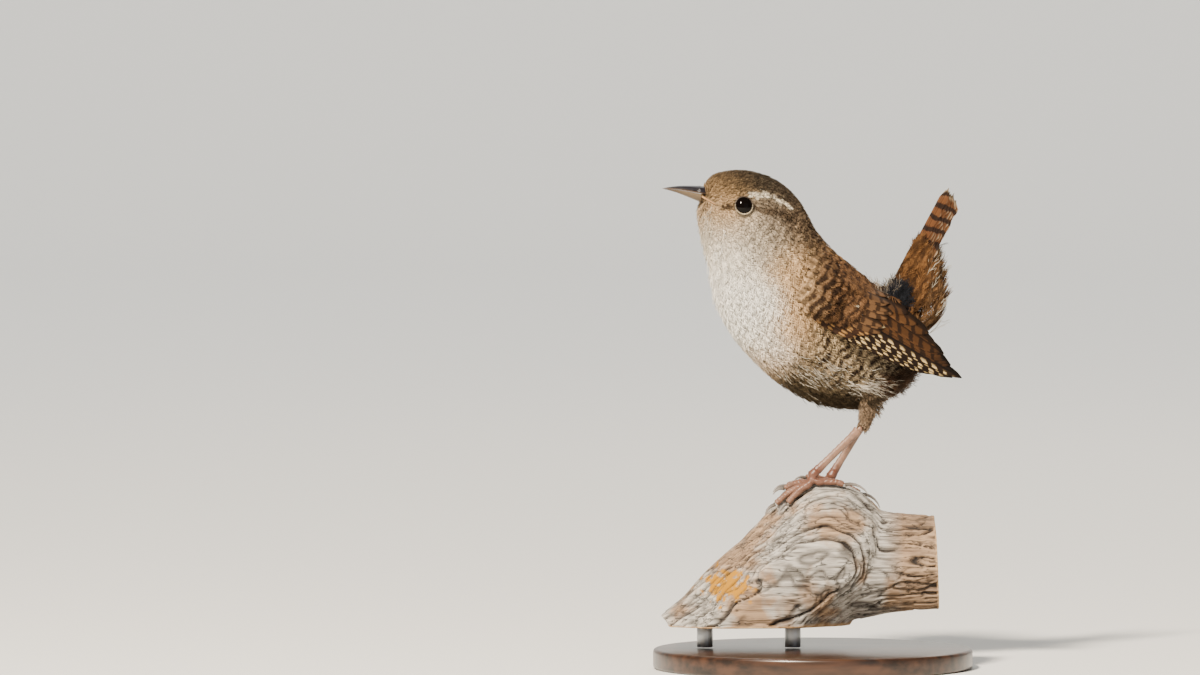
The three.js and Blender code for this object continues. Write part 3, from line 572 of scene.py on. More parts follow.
def fans(name, roots, normals, ways, length, width, rise, sag, tones, bars, barbs, stray=0.08,
         barb_width=BARB_WIDTH, pieces=1):
    """Feathers as fans of barbs: each barb is a thin three-sided taper from the shaft to the vane's edge.

    Rise is the shaft's slope off the surface at its root, and sag how fast it bends back towards it.
    """
    count = len(roots)
    across = np.cross(normals, ways)
    grain_values = random.random(count)
    twist = random.normal(0, stray, count)
    ways = ways * np.cos(twist)[:, None] + across * np.sin(twist)[:, None]
    across = np.cross(normals, ways)
    order = np.arange(barbs)
    start = np.where(order == barbs - 1, 0.0, 0.02 + 0.74 * order / max(barbs - 2, 1))
    side = np.where(order == barbs - 1, 0, np.where(order % 2, 1, -1))
    start = start[None] + random.normal(0, 0.02, (count, barbs))
    end = np.clip(start + BARB_SPAN + random.normal(0, 0.05, (count, barbs)), 0.2, None)
    end[:, -1] = 1
    end = np.minimum(end, 1.02 + random.normal(0, 0.03, (count, barbs)))
    spread = np.sin(np.pi * np.clip(end, 0, 1) ** 0.9 * 0.93) ** 0.6
    reach = side[None] * width[:, None] * 0.5 * spread * random.uniform(0.75, 1.1, (count, barbs))

    def at(t, out):
        gone = t * length[:, None]
        up = rise[:, None] * gone - sag[:, None] * gone**2 - VANE_CAMBER * out**2
        return (
            roots[:, None] + ways[:, None] * gone[..., None] + across[:, None] * out[..., None]
            + normals[:, None] * up[..., None]
        )

    first = at(start, np.zeros_like(start))
    middle = at((start + end) / 2, reach * BARB_BOW)
    last = at(end, reach)
    along_way = last - first
    sideways = np.cross(normals[:, None], along_way)
    sideways /= np.linalg.norm(sideways, axis=2, keepdims=True) + 1e-9
    half = sideways * barb_width
    ridge = normals[:, None] * RIDGE
    points = np.stack([
        first - half, first + ridge, first + half,
        middle - half * 0.9, middle + ridge * 1.2, middle + half * 0.9, last,
    ], axis=2)
    shares = np.stack([start] * 3 + [(start + end) / 2] * 3 + [end], axis=2)
    for number, rows in enumerate(np.array_split(np.arange(count), pieces)):
        block = points[rows].reshape(-1, 3)
        barb_count = len(rows) * barbs
        triangles = BARB_FACES[None] + BARB_POINTS * np.arange(barb_count)[:, None, None]
        triangles = triangles.reshape(-1, 3)
        label = name if pieces == 1 else f"{name}_{number + 1}"
        piece = solid_mesh(label, to_world(block), triangles, plumage)
        each = np.repeat(rows, barbs * BARB_POINTS)
        store(piece.data, "tone", tones[each])
        wave = bar_wave(block.reshape(len(rows), -1, 3), grain_values[rows, None] * 0.8).ravel()
        store(piece.data, "bar", bars[each] * wave)
        store(piece.data, "grain", grain_values[each])
        u, v = spine_unwrap(roots[rows])
        spot = np.repeat(np.stack([u, v], axis=1), barbs * BARB_POINTS, axis=0)
        spot[:, 0] += PATCH * (np.clip(shares[rows].ravel(), 0, 1) - 0.5)
        lateral = np.repeat((reach / (width[:, None] + 1e-9))[rows].ravel(), BARB_POINTS)
        spot[:, 1] += PATCH * lateral
        layer = piece.data.uv_layers.new(name="OFBake")
        layer.data.foreach_set("uv", np.clip(spot, 0, 1)[triangles.ravel()].astype(np.float32).ravel())
        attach(piece, "root")


def spacing(points):
    """Distance between feather roots in millimetres, closer where the feathers are short."""
    return 0.22 * np.minimum(feather_length(points), 4.6) + 0.1


roots, faces = scatter(skin.data, FEATHERS, spacing)
# No feather grows over an eye, along the gape or inside the root of the bill.
eyes = {}
for side in ("left", "right"):
    eyes[side] = to_bird(np.mean(np.array(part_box(f"eye_{side}")), axis=0)[None])[0]
EYE_RADIUS = (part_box("eye_left")[1][2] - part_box("eye_left")[0][2]) / 2 / MM
feathered = np.ones(len(roots), dtype=bool)
for centre in eyes.values():
    ahead_of_eye = np.clip((centre[0] - roots[:, 0]) / EYE_RADIUS, 0, 1)
    feathered &= np.linalg.norm(roots - centre, axis=1) > EYE_RADIUS + 0.25 + 0.65 * ahead_of_eye
GAPE = [(-28.9, 72.5), (-28.2, 71.9), (-27.4, 71.2), (-26.2, 70.4)]
BILL_AXIS_Z = 72.9
BILL_OPENING = np.array([1.2, 1.1, 1.15])
from_gape, gape_share = near_line(roots[:, [0, 2]], GAPE)
feathered &= from_gape > 0.62 - 0.3 * gape_share
bill_root = np.array([-28.2, 0, BILL_AXIS_Z])
feathered &= (((roots - bill_root) / BILL_OPENING) ** 2).sum(axis=1) > 1
roots, faces = roots[feathered], faces[feathered]
order = np.argsort(roots[:, 0] * 0.7 - roots[:, 2])
roots, faces = roots[order], faces[order]
sizes = feather_length(roots) * random.uniform(0.85, 1.15, len(roots))
tones, bars = plumage_at(roots + random.normal(0, 0.22, roots.shape))
depth = coat_depth(roots)
paleness = np.clip(tones.mean(axis=1) / 0.5, 0, 1)
tones *= 1 + random.uniform(-1, 1, (len(roots), 1)) * (0.42 - 0.36 * paleness[:, None])
fans(
    "contour_feathers", roots, faces, lie_at(roots, faces), sizes, sizes * 0.62,
    depth / sizes * 0.95, np.full(len(roots), 0.03), tones, bars, 10, pieces=7,
)

# Eyes
# Glass eyes, near black, set into the sockets, each held by a thin ring of bare lid.
# The glass is a shallow dome as wide as the living eye, so it holds one small window light.
# Polished black glass gives one sharp, small light.
glass, tree, shader = paint("black glass eye")
shader.inputs["Base Color"].default_value = (*linear("#080504"), 1)
shader.inputs["Roughness"].default_value = 0.02
shader.inputs["Specular IOR Level"].default_value = 0.12
# Dry bare skin is matt, pale below the eye and darker above.
lid_skin, tree, shader = paint("bare lid skin")
tone = node(tree, "ShaderNodeAttribute", attribute_name="tone")
tree.links.new(tone.outputs["Color"], shader.inputs["Base Color"])
shader.inputs["Roughness"].default_value = 0.6
DOME_RADIUS, DOME_DEPTH, DOME_SUNK = 2.28, 1.5, 0.4
LID_RADIUS, LID_THICKNESS, LID_PROUD, LID_DEEP = 2.2, 0.17, 0.18, 1.25
EYE_OUT = 1.0
skin_tree = BVHTree.FromPolygons(
    [Vector(c) for c in skin_points], [tuple(face.vertices) for face in skin.data.polygons],
)


def on_skin(x, z, side, lift):
    """The point of the bird's frame a lift off the skin at x, z, and the skin's normal there."""
    sign = -1 if side == "left" else 1
    hit, out, _, _ = skin_tree.ray_cast(Vector((x, sign * 40, z)), Vector((0, -sign, 0)))
    if hit is None:
        hit, out, _, _ = skin_tree.find_nearest(Vector((x, sign * 2, z)))
    return np.array(hit + out * lift), np.array(out)


for side, centre in eyes.items():
    sign = -1 if side == "left" else 1
    near = np.linalg.norm(skin_points - centre, axis=1) < 5.0
    out = (normals_of(skin.data)[near] @ TURN).mean(axis=0)
    out[1] = sign * abs(out[1])
    out /= np.linalg.norm(out)
    facing = Vector(TURN @ out).to_track_quat("Z", "Y").to_euler()
    opening = centre + out * (EYE_RADIUS - EYE_OUT)
    bpy.ops.object.select_all(action="DESELECT")
    bpy.ops.mesh.primitive_uv_sphere_add(segments=48, ring_count=32, radius=MM)
    ball = bpy.context.object
    ball.name = f"eyeball_{side}"
    ball.scale = (DOME_RADIUS, DOME_RADIUS, DOME_DEPTH)
    ball.rotation_euler = facing
    ball.location = to_world((opening - out * DOME_SUNK)[None])[0]
    bpy.ops.object.transform_apply(location=True, rotation=True, scale=True)
    ball.data.materials.append(glass)
    smooth_shaded(ball)
    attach(ball, "root")
    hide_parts(f"eye_{side}")
    bpy.ops.object.select_all(action="DESELECT")
    bpy.ops.mesh.primitive_torus_add(
        major_segments=72, minor_segments=12, major_radius=LID_RADIUS * MM, minor_radius=LID_THICKNESS * MM,
    )
    lid = bpy.context.object
    lid.name = f"eyelid_{side}"
    lid.rotation_euler = facing
    lid.location = to_world((opening + out * LID_PROUD)[None])[0]
    lid.scale = (1.0, 1.0, LID_DEEP)
    bpy.ops.object.transform_apply(location=True, rotation=True, scale=True)
    at = to_bird(points_of(lid.data))
    turn = np.arctan2(at[:, 2] - opening[2], at[:, 0] - opening[0])
    pale = 0.1 - 0.5 * np.sin(turn) + 0.2 * np.sin(19 * turn) + 0.15 * np.sin(31 * turn + 1)
    pale = np.clip(pale, 0, 1)
    store(lid.data, "tone", blend_tones("#2e2217", "#c9b999", pale))
    at += out * random.normal(0, 0.03, (len(at), 1))
    set_points(lid.data, to_world(at))
    lid.data.materials.append(lid_skin)
    smooth_shaded(lid)
    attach(lid, "root")

# Bill
# A thin, slightly curved insect eater's bill of horn, blackish above and pale horn below.
# Both halves are smoothed from their solids, and the nostril is a slit near the root.
BILL_CELL = 0.11
# Dry worn horn has a broken, satin shine. It is browner at the edge of the mouth than on the ridge.
horn, tree, shader = paint("dark bill horn")
place = node(tree, "ShaderNodeTexCoord")
streak = node(tree, "ShaderNodeTexNoise", [(place.outputs["Object"], "Vector")], Scale=700, Detail=3)
shine = node(tree, "ShaderNodeMapRange", [(streak.outputs["Fac"], "Value")])
shine.inputs["To Min"].default_value = 0.22
shine.inputs["To Max"].default_value = 0.42
tree.links.new(shine.outputs[0], shader.inputs["Roughness"])
keel = node(tree, "ShaderNodeAttribute", attribute_name="keel")
horn_tone = node(tree, "ShaderNodeValToRGB", [(keel.outputs["Fac"], "Fac")])
horn_tone.color_ramp.elements[0].color = (*linear("#5f4a36"), 1)
horn_tone.color_ramp.elements[0].position = 0.05
horn_tone.color_ramp.elements[1].color = (*linear("#17141a"), 1)
horn_tone.color_ramp.elements[1].position = 0.3
tree.links.new(horn_tone.outputs["Color"], shader.inputs["Base Color"])
# The lower half is thinner, paler horn with a more even shine, darker towards its tip.
pale_horn, tree, shader = paint("pale bill horn")
keel = node(tree, "ShaderNodeAttribute", attribute_name="keel")
horn_tone = node(tree, "ShaderNodeValToRGB", [(keel.outputs["Fac"], "Fac")])
horn_tone.color_ramp.elements[0].color = (*linear("#3a2c24"), 1)
horn_tone.color_ramp.elements[1].color = (*linear("#5e4d37"), 1)
horn_tone.color_ramp.elements[1].position = 0.55
tree.links.new(horn_tone.outputs["Color"], shader.inputs["Base Color"])
shader.inputs["Roughness"].default_value = 0.34
BILL_ROOT_X, BILL_TIP_X = -28.4, -38.6
BILL_SUNK, ROOT_NARROWED = 1.5, 0.16
MOUTH_GAP = 0.27
MOUTH_ROOT, MOUTH_TIP = 72.85, 74.15
for name, material, slot in (("bill_upper", horn, "bill"), ("bill_lower", pale_horn, "bill_pale")):
    half = copy_nodes(f"{name}_horn", [name])
    modify(half, "REMESH", mode="VOXEL", voxel_size=BILL_CELL * MM)
    modify(half, "SMOOTH", factor=0.5, iterations=5)
    at = to_bird(points_of(half.data))
    behind = np.clip((at[:, 0] - BILL_ROOT_X + 0.6) / 0.6, 0, 1)
    at[:, 0] += behind * BILL_SUNK
    at[:, 1:] += (np.array([0, BILL_AXIS_Z]) - at[:, 1:]) * ROOT_NARROWED * behind[:, None]
    at[:, 2] += MOUTH_GAP if name == "bill_lower" else 0
    set_points(half.data, to_world(at))
    gone = np.clip((at[:, 0] - BILL_ROOT_X) / (BILL_TIP_X - BILL_ROOT_X), 0, 1)
    mouth = MOUTH_ROOT + (MOUTH_TIP - MOUTH_ROOT) * np.sin(gone * math.pi / 2)
    if name == "bill_upper":
        store(half.data, "keel", np.clip((at[:, 2] - mouth) / 1.6, 0, 1))
    else:
        store(half.data, "keel", 1 - gone)
    half.data.materials.append(material)
    smooth_shaded(half)
    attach(half, "root")
    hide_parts(name)

# The gape is a soft pale line of bare skin that runs back and down from the corner of the bill.
GAPE_RADIUS, GAPE_SIDES = 0.34, 8
# Soft skin that lets a little light through, so it looks less hard than the horn.
gape_skin, tree, shader = paint("bare gape skin")
shader.inputs["Base Color"].default_value = (*linear("#a87c50"), 1)
shader.inputs["Roughness"].default_value = 0.5
shader.inputs["Subsurface Weight"].default_value = 0.1
for side in ("left", "right"):
    route = np.array([on_skin(x, z, side, FACE_DEPTH * 0.9)[0] for x, z in GAPE])
    route[:, 0] = [x for x, _ in GAPE]
    ring_points = []
    for i, at in enumerate(route):
        radius = GAPE_RADIUS * (1 - 0.75 * i / (len(route) - 1))
        way = route[min(i + 1, len(route) - 1)] - route[max(i - 1, 0)]
        way /= np.linalg.norm(way)
        up = np.cross(way, [0, 1, 0])
        up /= np.linalg.norm(up)
        over = np.cross(up, way)
        for k in range(GAPE_SIDES):
            a = 2 * math.pi * k / GAPE_SIDES
            ring_points.append(at + radius * (math.cos(a) * up + math.sin(a) * over))
    faces = []
    for i in range(len(route) - 1):
        for k in range(GAPE_SIDES):
            a, b = i * GAPE_SIDES + k, i * GAPE_SIDES + (k + 1) % GAPE_SIDES
            faces += [[a, b, b + GAPE_SIDES], [a, b + GAPE_SIDES, a + GAPE_SIDES]]
    last = (len(route) - 1) * GAPE_SIDES
    for k in range(1, GAPE_SIDES - 1):
        faces += [[0, k + 1, k], [last, last + k, last + k + 1]]
    gape = solid_mesh(f"gape_{side}", to_world(np.array(ring_points)), np.array(faces), gape_skin)
    activate(gape)
    bpy.ops.object.mode_set(mode="EDIT")
    bpy.ops.mesh.select_all(action="SELECT")
    bpy.ops.mesh.normals_make_consistent(inside=False)
    bpy.ops.object.mode_set(mode="OBJECT")
    modify(gape, "SUBSURF", levels=2, render_levels=2)
    smooth_shaded(gape)
    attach(gape, "root")

# Flight feathers
# Stiff vanes on a dark shaft, laid in tiers: primaries lowest, then secondaries, tertials and coverts.
# Each is a thin cambered plate whose web is cut a little ragged along its edge and at its tip.
WING_BEND = np.array([-4.2, 46.6])
WING_DROOP = math.radians(27)
WING_ALONG = np.array([math.cos(WING_DROOP), -math.sin(WING_DROOP)])
WING_OVER = np.array([math.sin(WING_DROOP), math.cos(WING_DROOP)])
BAR_STEP = 3.2
SPOT_OFFSET = 1.3
BARB_STEP = 0.34

# Stiff webs are smoother than body feathers, with a faint sheen along the barbs and a dark shaft.
vane, tree, shader = paint("barred vane")
tone = node(tree, "ShaderNodeAttribute", attribute_name="tone")
bar_tone = node(tree, "ShaderNodeAttribute", attribute_name="bar_tone")
bar = node(tree, "ShaderNodeAttribute", attribute_name="bar")
run = node(tree, "ShaderNodeAttribute", attribute_name="run")
out = node(tree, "ShaderNodeAttribute", attribute_name="across")
place = node(tree, "ShaderNodeTexCoord")
# The bars waver, and their edges are frayed by single barbs.
wobble = node(tree, "ShaderNodeTexNoise", [(place.outputs["Object"], "Vector")], Scale=260, Detail=1)
fray = node(tree, "ShaderNodeTexNoise", [(place.outputs["Object"], "Vector")], Scale=1900, Detail=1)
drift = node(tree, "ShaderNodeMath", [(wobble.outputs["Fac"], 0)], operation="MULTIPLY", i1=2.2)
frayed = node(tree, "ShaderNodeMath", [
    (fray.outputs["Fac"], 0), (drift.outputs[0], 2),
], operation="MULTIPLY_ADD", i1=0.9)
moved = node(tree, "ShaderNodeMath", [(run.outputs["Fac"], 0), (frayed.outputs[0], 1)], operation="ADD")
steps = node(tree, "ShaderNodeMath", [(moved.outputs[0], 0)], operation="DIVIDE", i1=BAR_STEP)
phase = node(tree, "ShaderNodeMath", [(steps.outputs[0], 0)], operation="FRACT")
band = node(tree, "ShaderNodeValToRGB", [(phase.outputs[0], "Fac")])
band.color_ramp.elements[0].position = 0.05
band.color_ramp.elements[0].color = (0, 0, 0, 1)
band.color_ramp.elements[1].position = 0.15
band.color_ramp.elements[1].color = (1, 1, 1, 1)
for position, level in ((0.42, 1), (0.54, 0)):
    stop = band.color_ramp.elements.new(position)
    stop.color = (level, level, level, 1)
barred = node(tree, "ShaderNodeMath", [
    (band.outputs["Color"], 0), (bar.outputs["Fac"], 1),
], operation="MULTIPLY")
web = node(tree, "ShaderNodeMix", [
    (barred.outputs[0], "Factor"), (tone.outputs["Color"], 6), (bar_tone.outputs["Color"], 7),
], data_type="RGBA")
# Barbs run out from the shaft at a slant, a third of a millimetre apart, drawn coarser than life to show.
spread = node(tree, "ShaderNodeMath", [(out.outputs["Fac"], 0)], operation="ABSOLUTE")
slant = node(tree, "ShaderNodeMath", [(run.outputs["Fac"], 0), (spread.outputs[0], 1)], operation="SUBTRACT")
barb_turn = 2 * math.pi / BARB_STEP
barbs = node(tree, "ShaderNodeMath", [(slant.outputs[0], 0)], operation="MULTIPLY", i1=barb_turn)
ripple = node(tree, "ShaderNodeMath", [(barbs.outputs[0], 0)], operation="SINE")
streaks = node(tree, "ShaderNodeMapRange", [(ripple.outputs[0], "Value")])
streaks.inputs["From Min"].default_value = -1
streaks.inputs["To Min"].default_value = 0.84
streaks.inputs["To Max"].default_value = 1.1
shaft = node(tree, "ShaderNodeMapRange", [(spread.outputs[0], "Value")])
shaft.inputs["From Min"].default_value = 0.08
shaft.inputs["From Max"].default_value = 0.2
shaft.inputs["To Min"].default_value = 0.5
shaft.inputs["To Max"].default_value = 1
shade = node(tree, "ShaderNodeMath", [(streaks.outputs[0], 0), (shaft.outputs[0], 1)], operation="MULTIPLY")
final = node(tree, "ShaderNodeVectorMath", [(web.outputs[2], 0), (shade.outputs[0], 1)], operation="MULTIPLY")
tree.links.new(final.outputs[0], shader.inputs["Base Color"])
relief = node(tree, "ShaderNodeBump", [(ripple.outputs[0], "Height")], Strength=0.25, Distance=0.00004)
tree.links.new(relief.outputs[0], shader.inputs["Normal"])
shader.inputs["Roughness"].default_value = 0.75
shader.inputs["Specular IOR Level"].default_value = 0.15

VANE_STEPS, VANE_SIDES = 26, 9
VANE_THICKNESS = 0.22


def vane_grid(length, width, pointed, ragged, thickness):
    """Points of one vane in its own flat frame, upper then lower face: along, across, up."""
    t = np.linspace(0, 1, VANE_STEPS)
    u = np.linspace(-1, 1, VANE_SIDES)
    flare = 0.35 + 0.65 * np.clip(t / 0.35, 0, 1) ** 0.7
    into = np.clip((t - 1 + pointed) / pointed, 0, 1)
    half = width / 2 * flare * np.maximum(np.sqrt(1 - into**2), 0.08)
    edge = 1 - ragged * random.random((VANE_STEPS, 2)) * np.array([0.5, 1])
    across = half[:, None] * u[None]
    across[:, 0] *= edge[:, 0]
    across[:, -1] *= edge[:, 1]
    along = t[:, None] * length - 0.35 * np.abs(across)
    along[-1] += random.normal(0, ragged * 1.2, VANE_SIDES)
    along = np.clip(along, 0, None)
    camber = -0.1 * across**2 / max(width / 2, 0.1)
    thin = thickness * (1 - 0.5 * t[:, None]) * (1 - 0.55 * np.abs(u[None]))
    rib = np.where(np.abs(u) < 0.05, 0.1, 0)[None] * (1 - 0.7 * t[:, None])
    top = np.stack([along, across, camber + thin / 2 + rib], axis=2)
    low = np.stack([along, across, camber - thin / 2], axis=2)
    return top, low


def vane_faces():
    """Triangles of a closed vane, numbered over its upper and then its lower grid."""
    number = np.arange(VANE_STEPS * VANE_SIDES).reshape(VANE_STEPS, VANE_SIDES)
    lower = number + number.size
    faces = []

    def quad(a, b, c, d):
        faces.append(np.stack([a.ravel(), b.ravel(), c.ravel()], axis=1))
        faces.append(np.stack([a.ravel(), c.ravel(), d.ravel()], axis=1))

    quad(number[:-1, :-1], number[1:, :-1], number[1:, 1:], number[:-1, 1:])
    quad(lower[:-1, 1:], lower[1:, 1:], lower[1:, :-1], lower[:-1, :-1])
    quad(number[:-1, -1], number[1:, -1], lower[1:, -1], lower[:-1, -1])
    quad(lower[:-1, 0], lower[1:, 0], number[1:, 0], number[:-1, 0])
    quad(number[-1, :-1], lower[-1, :-1], lower[-1, 1:], number[-1, 1:])
    quad(lower[0, :-1], number[0, :-1], number[0, 1:], lower[0, 1:])
    return np.concatenate(faces)


VANE_FACES = vane_faces()


def vane_piece(name, vanes):
    """One object of many vanes, each a dictionary of points and values."""
    points = np.concatenate([v["points"] for v in vanes])
    size = 2 * VANE_STEPS * VANE_SIDES
    faces = np.concatenate([
        (VANE_FACES[:, ::-1] if v["flip"] else VANE_FACES) + i * size for i, v in enumerate(vanes)
    ])
    piece = solid_mesh(name, to_world(points), faces, vane)
    for key in ("tone", "bar_tone", "bar", "run", "across"):
        store(piece.data, key, np.concatenate([v[key] for v in vanes]))
    smooth_shaded(piece)
    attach(piece, "root")
    return piece


# Each tier: count, first and last root, first and last tip, bow of the tips, width, level over the wing,
# how pointed and ragged, then the colours of outer web, inner web and bars, how strongly the bars show,
# whether they are spots on the outer web alone, and how much they slant across the wing.
# Places are along the wing from its bend, and over it towards the back.
TIERS = {
    "primary": dict(count=8, root=((4, -3.4), (9, 1.4)), tip=((32.0, -2.6), (44.4, 0.5)), bow=2.0, width=3.2,
                    level=-0.35, pointed=0.3, ragged=0.05, web="#1c110a", inner="#0c0705", bars="#cfb380",
                    strength=1.0, spotted=True, slant=1.0),
    "secondary": dict(count=7, root=((9, 1.2), (10, 6.6)), tip=((41.2, 1.5), (36.6, 3.7)), bow=0, width=4.0,
                      level=-0.05, pointed=0.22, ragged=0.07, web="#3f2814", inner="#120b06", bars="#0e0805",
                      strength=0.8, spotted=False, slant=0.5),
    "tertial": dict(count=4, root=((10, 7), (11, 10.4)), tip=((35, 4.9), (25, 8.6)), bow=0, width=5.0,
                    level=0.2, pointed=0.3, ragged=0.08, web="#4c321b", inner="#1a1008", bars="#140b06",
                    strength=0.85, spotted=False, slant=0.4),
    "primary_covert": dict(count=5, root=((2, -3.0), (5, 0.2)), tip=((14, -3.3), (18.6, 0)), bow=0, width=2.4,
                           level=-0.1, pointed=0.35, ragged=0.06, web="#2c1b10", inner="#120b06",
                           bars="#a67c4a", strength=0.7, spotted=True, slant=0.6),
    "greater_covert": dict(count=9, root=((6, 0.2), (7, 9.6)), tip=((20.4, 0.9), (18.4, 10.2)), bow=0.8,
                           width=3.2, level=0.25, pointed=0.45, ragged=0.16, web="#5c422b", inner="#20140a",
                           bars="#170d07", strength=0.8, spotted=False, slant=0.3),
}


# Between its folded feathers and the body the wing has no gap: the feathers pass from the wing's
# own surface into the coat's, above it, ahead of its bend and low in front.
COAT_OVER_BACK = 0.9
BODY_P, BODY_Q = np.arange(-6, 32), np.arange(-6, 15)
HIGHEST_Q = 13.0


def wing_basis(p, q):
    """Terms of a cubic surface over places on the wing."""
    p, q = p / 40, q / 10
    return np.stack([np.ones_like(p), p, q, p * p, p * q, q * q, p**3, p * p * q, p * q * q, q**3], axis=1)


def wing_sheet(side):
    """Distances from the bird's middle plane: of the solid wing as a smooth fit, of the coat as a grid."""
    node_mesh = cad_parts[f"wing_{side}"].data
    corners = [Vector(c) for c in to_bird(points_of(node_mesh))]
    hull = BVHTree.FromPolygons(corners, [tuple(f.vertices) for f in node_mesh.polygons])
    sign = -1 if side == "left" else 1

    def out_at(tree, p, q):
        x, z = WING_BEND + WING_ALONG * p + WING_OVER * q
        hit = tree.ray_cast(Vector((x, sign * 60, z)), Vector((0, -sign, 0)))
        return None if hit[0] is None else abs(hit[0].y)

    places = [(p, q) for p in np.arange(0, 42, 1.0) for q in np.arange(-4, 10.5, 0.7)]
    found = [(p, q, out_at(hull, p, q)) for p, q in places]
    found = np.array([row for row in found if row[2] is not None])
    fit, *_ = np.linalg.lstsq(wing_basis(found[:, 0], found[:, 1]), found[:, 2], rcond=None)
    body = np.array([[(out_at(skin_tree, p, q) or 0.0) + COAT_OVER_BACK for q in BODY_Q] for p in BODY_P])
    return fit, body


def sheet_depth(p, q, sheet):
    """The wing's surface, passing into the body's above its upper edge and ahead of its bend."""
    fit, body = sheet
    u = np.clip(p - BODY_P[0], 0, len(BODY_P) - 1.001)
    v = np.clip(q - BODY_Q[0], 0, len(BODY_Q) - 1.001)
    i, j = u.astype(int), v.astype(int)
    a, b = u - i, v - j
    coat = (body[i, j] * (1 - a) + body[i + 1, j] * a) * (1 - b)
    coat += (body[i, j + 1] * (1 - a) + body[i + 1, j + 1] * a) * b
    onto_body = np.clip((q - 6.8) / 4, 0, 1) * np.clip((30 - p) / 8, 0, 1)
    onto_body = np.maximum(onto_body, np.clip((5 - p) / 6, 0, 1))
    onto_body = np.maximum(onto_body, np.clip((-0.5 - q) / 3, 0, 1) * np.clip((14 - p) / 8, 0, 1))
    onto_body = onto_body**2 * (3 - 2 * onto_body)
    return wing_basis(p, q) @ fit * (1 - onto_body) + coat * onto_body


def on_wing(p, q, level, sheet, side):
    """Points of the bird's frame at places on the wing, a level off its surface."""
    sign = -1 if side == "left" else 1
    step = 0.5
    q = np.minimum(q, HIGHEST_Q)
    out = sheet_depth(p, q, sheet)
    slope_p = (sheet_depth(p + step, q, sheet) - out) / step
    slope_q = np.clip((sheet_depth(p, q + step, sheet) - out) / step, -2, 2)
    normal = np.stack([-slope_p, -slope_q, np.ones_like(p)], axis=1)
    normal /= np.linalg.norm(normal, axis=1, keepdims=True)
    level = np.asarray(level)
    p2, q2, y = p + normal[:, 0] * level, q + normal[:, 1] * level, out + normal[:, 2] * level
    x = WING_BEND[0] + WING_ALONG[0] * p2 + WING_OVER[0] * q2
    z = WING_BEND[1] + WING_ALONG[1] * p2 + WING_OVER[1] * q2
    faces = np.stack([
        WING_ALONG[0] * normal[:, 0] + WING_OVER[0] * normal[:, 1],
        sign * normal[:, 2],
        WING_ALONG[1] * normal[:, 0] + WING_OVER[1] * normal[:, 1],
    ], axis=1)
    return np.stack([x, sign * y, z], axis=1), faces


def lay_fans(name, rows, level, sheet, side, size, tones, bars, barbs, rise, drop=0.05):
    """Soft feathers over the wing at places p, q, pointing to the tip."""
    p, q = rows[:, 0], rows[:, 1]
    places, faces = on_wing(p, q, level, sheet, side)
    ahead, _ = on_wing(p + 1, q - drop, level, sheet, side)
    ways = ahead - places
    ways -= faces * (ways * faces).sum(axis=1, keepdims=True)
    ways /= np.linalg.norm(ways, axis=1, keepdims=True)
    fans(
        f"{name}_{side}", places, faces, ways, size, size * 0.72, np.full(len(p), rise),
        np.full(len(p), 0.02), tones, bars, barbs, stray=0.12,
    )


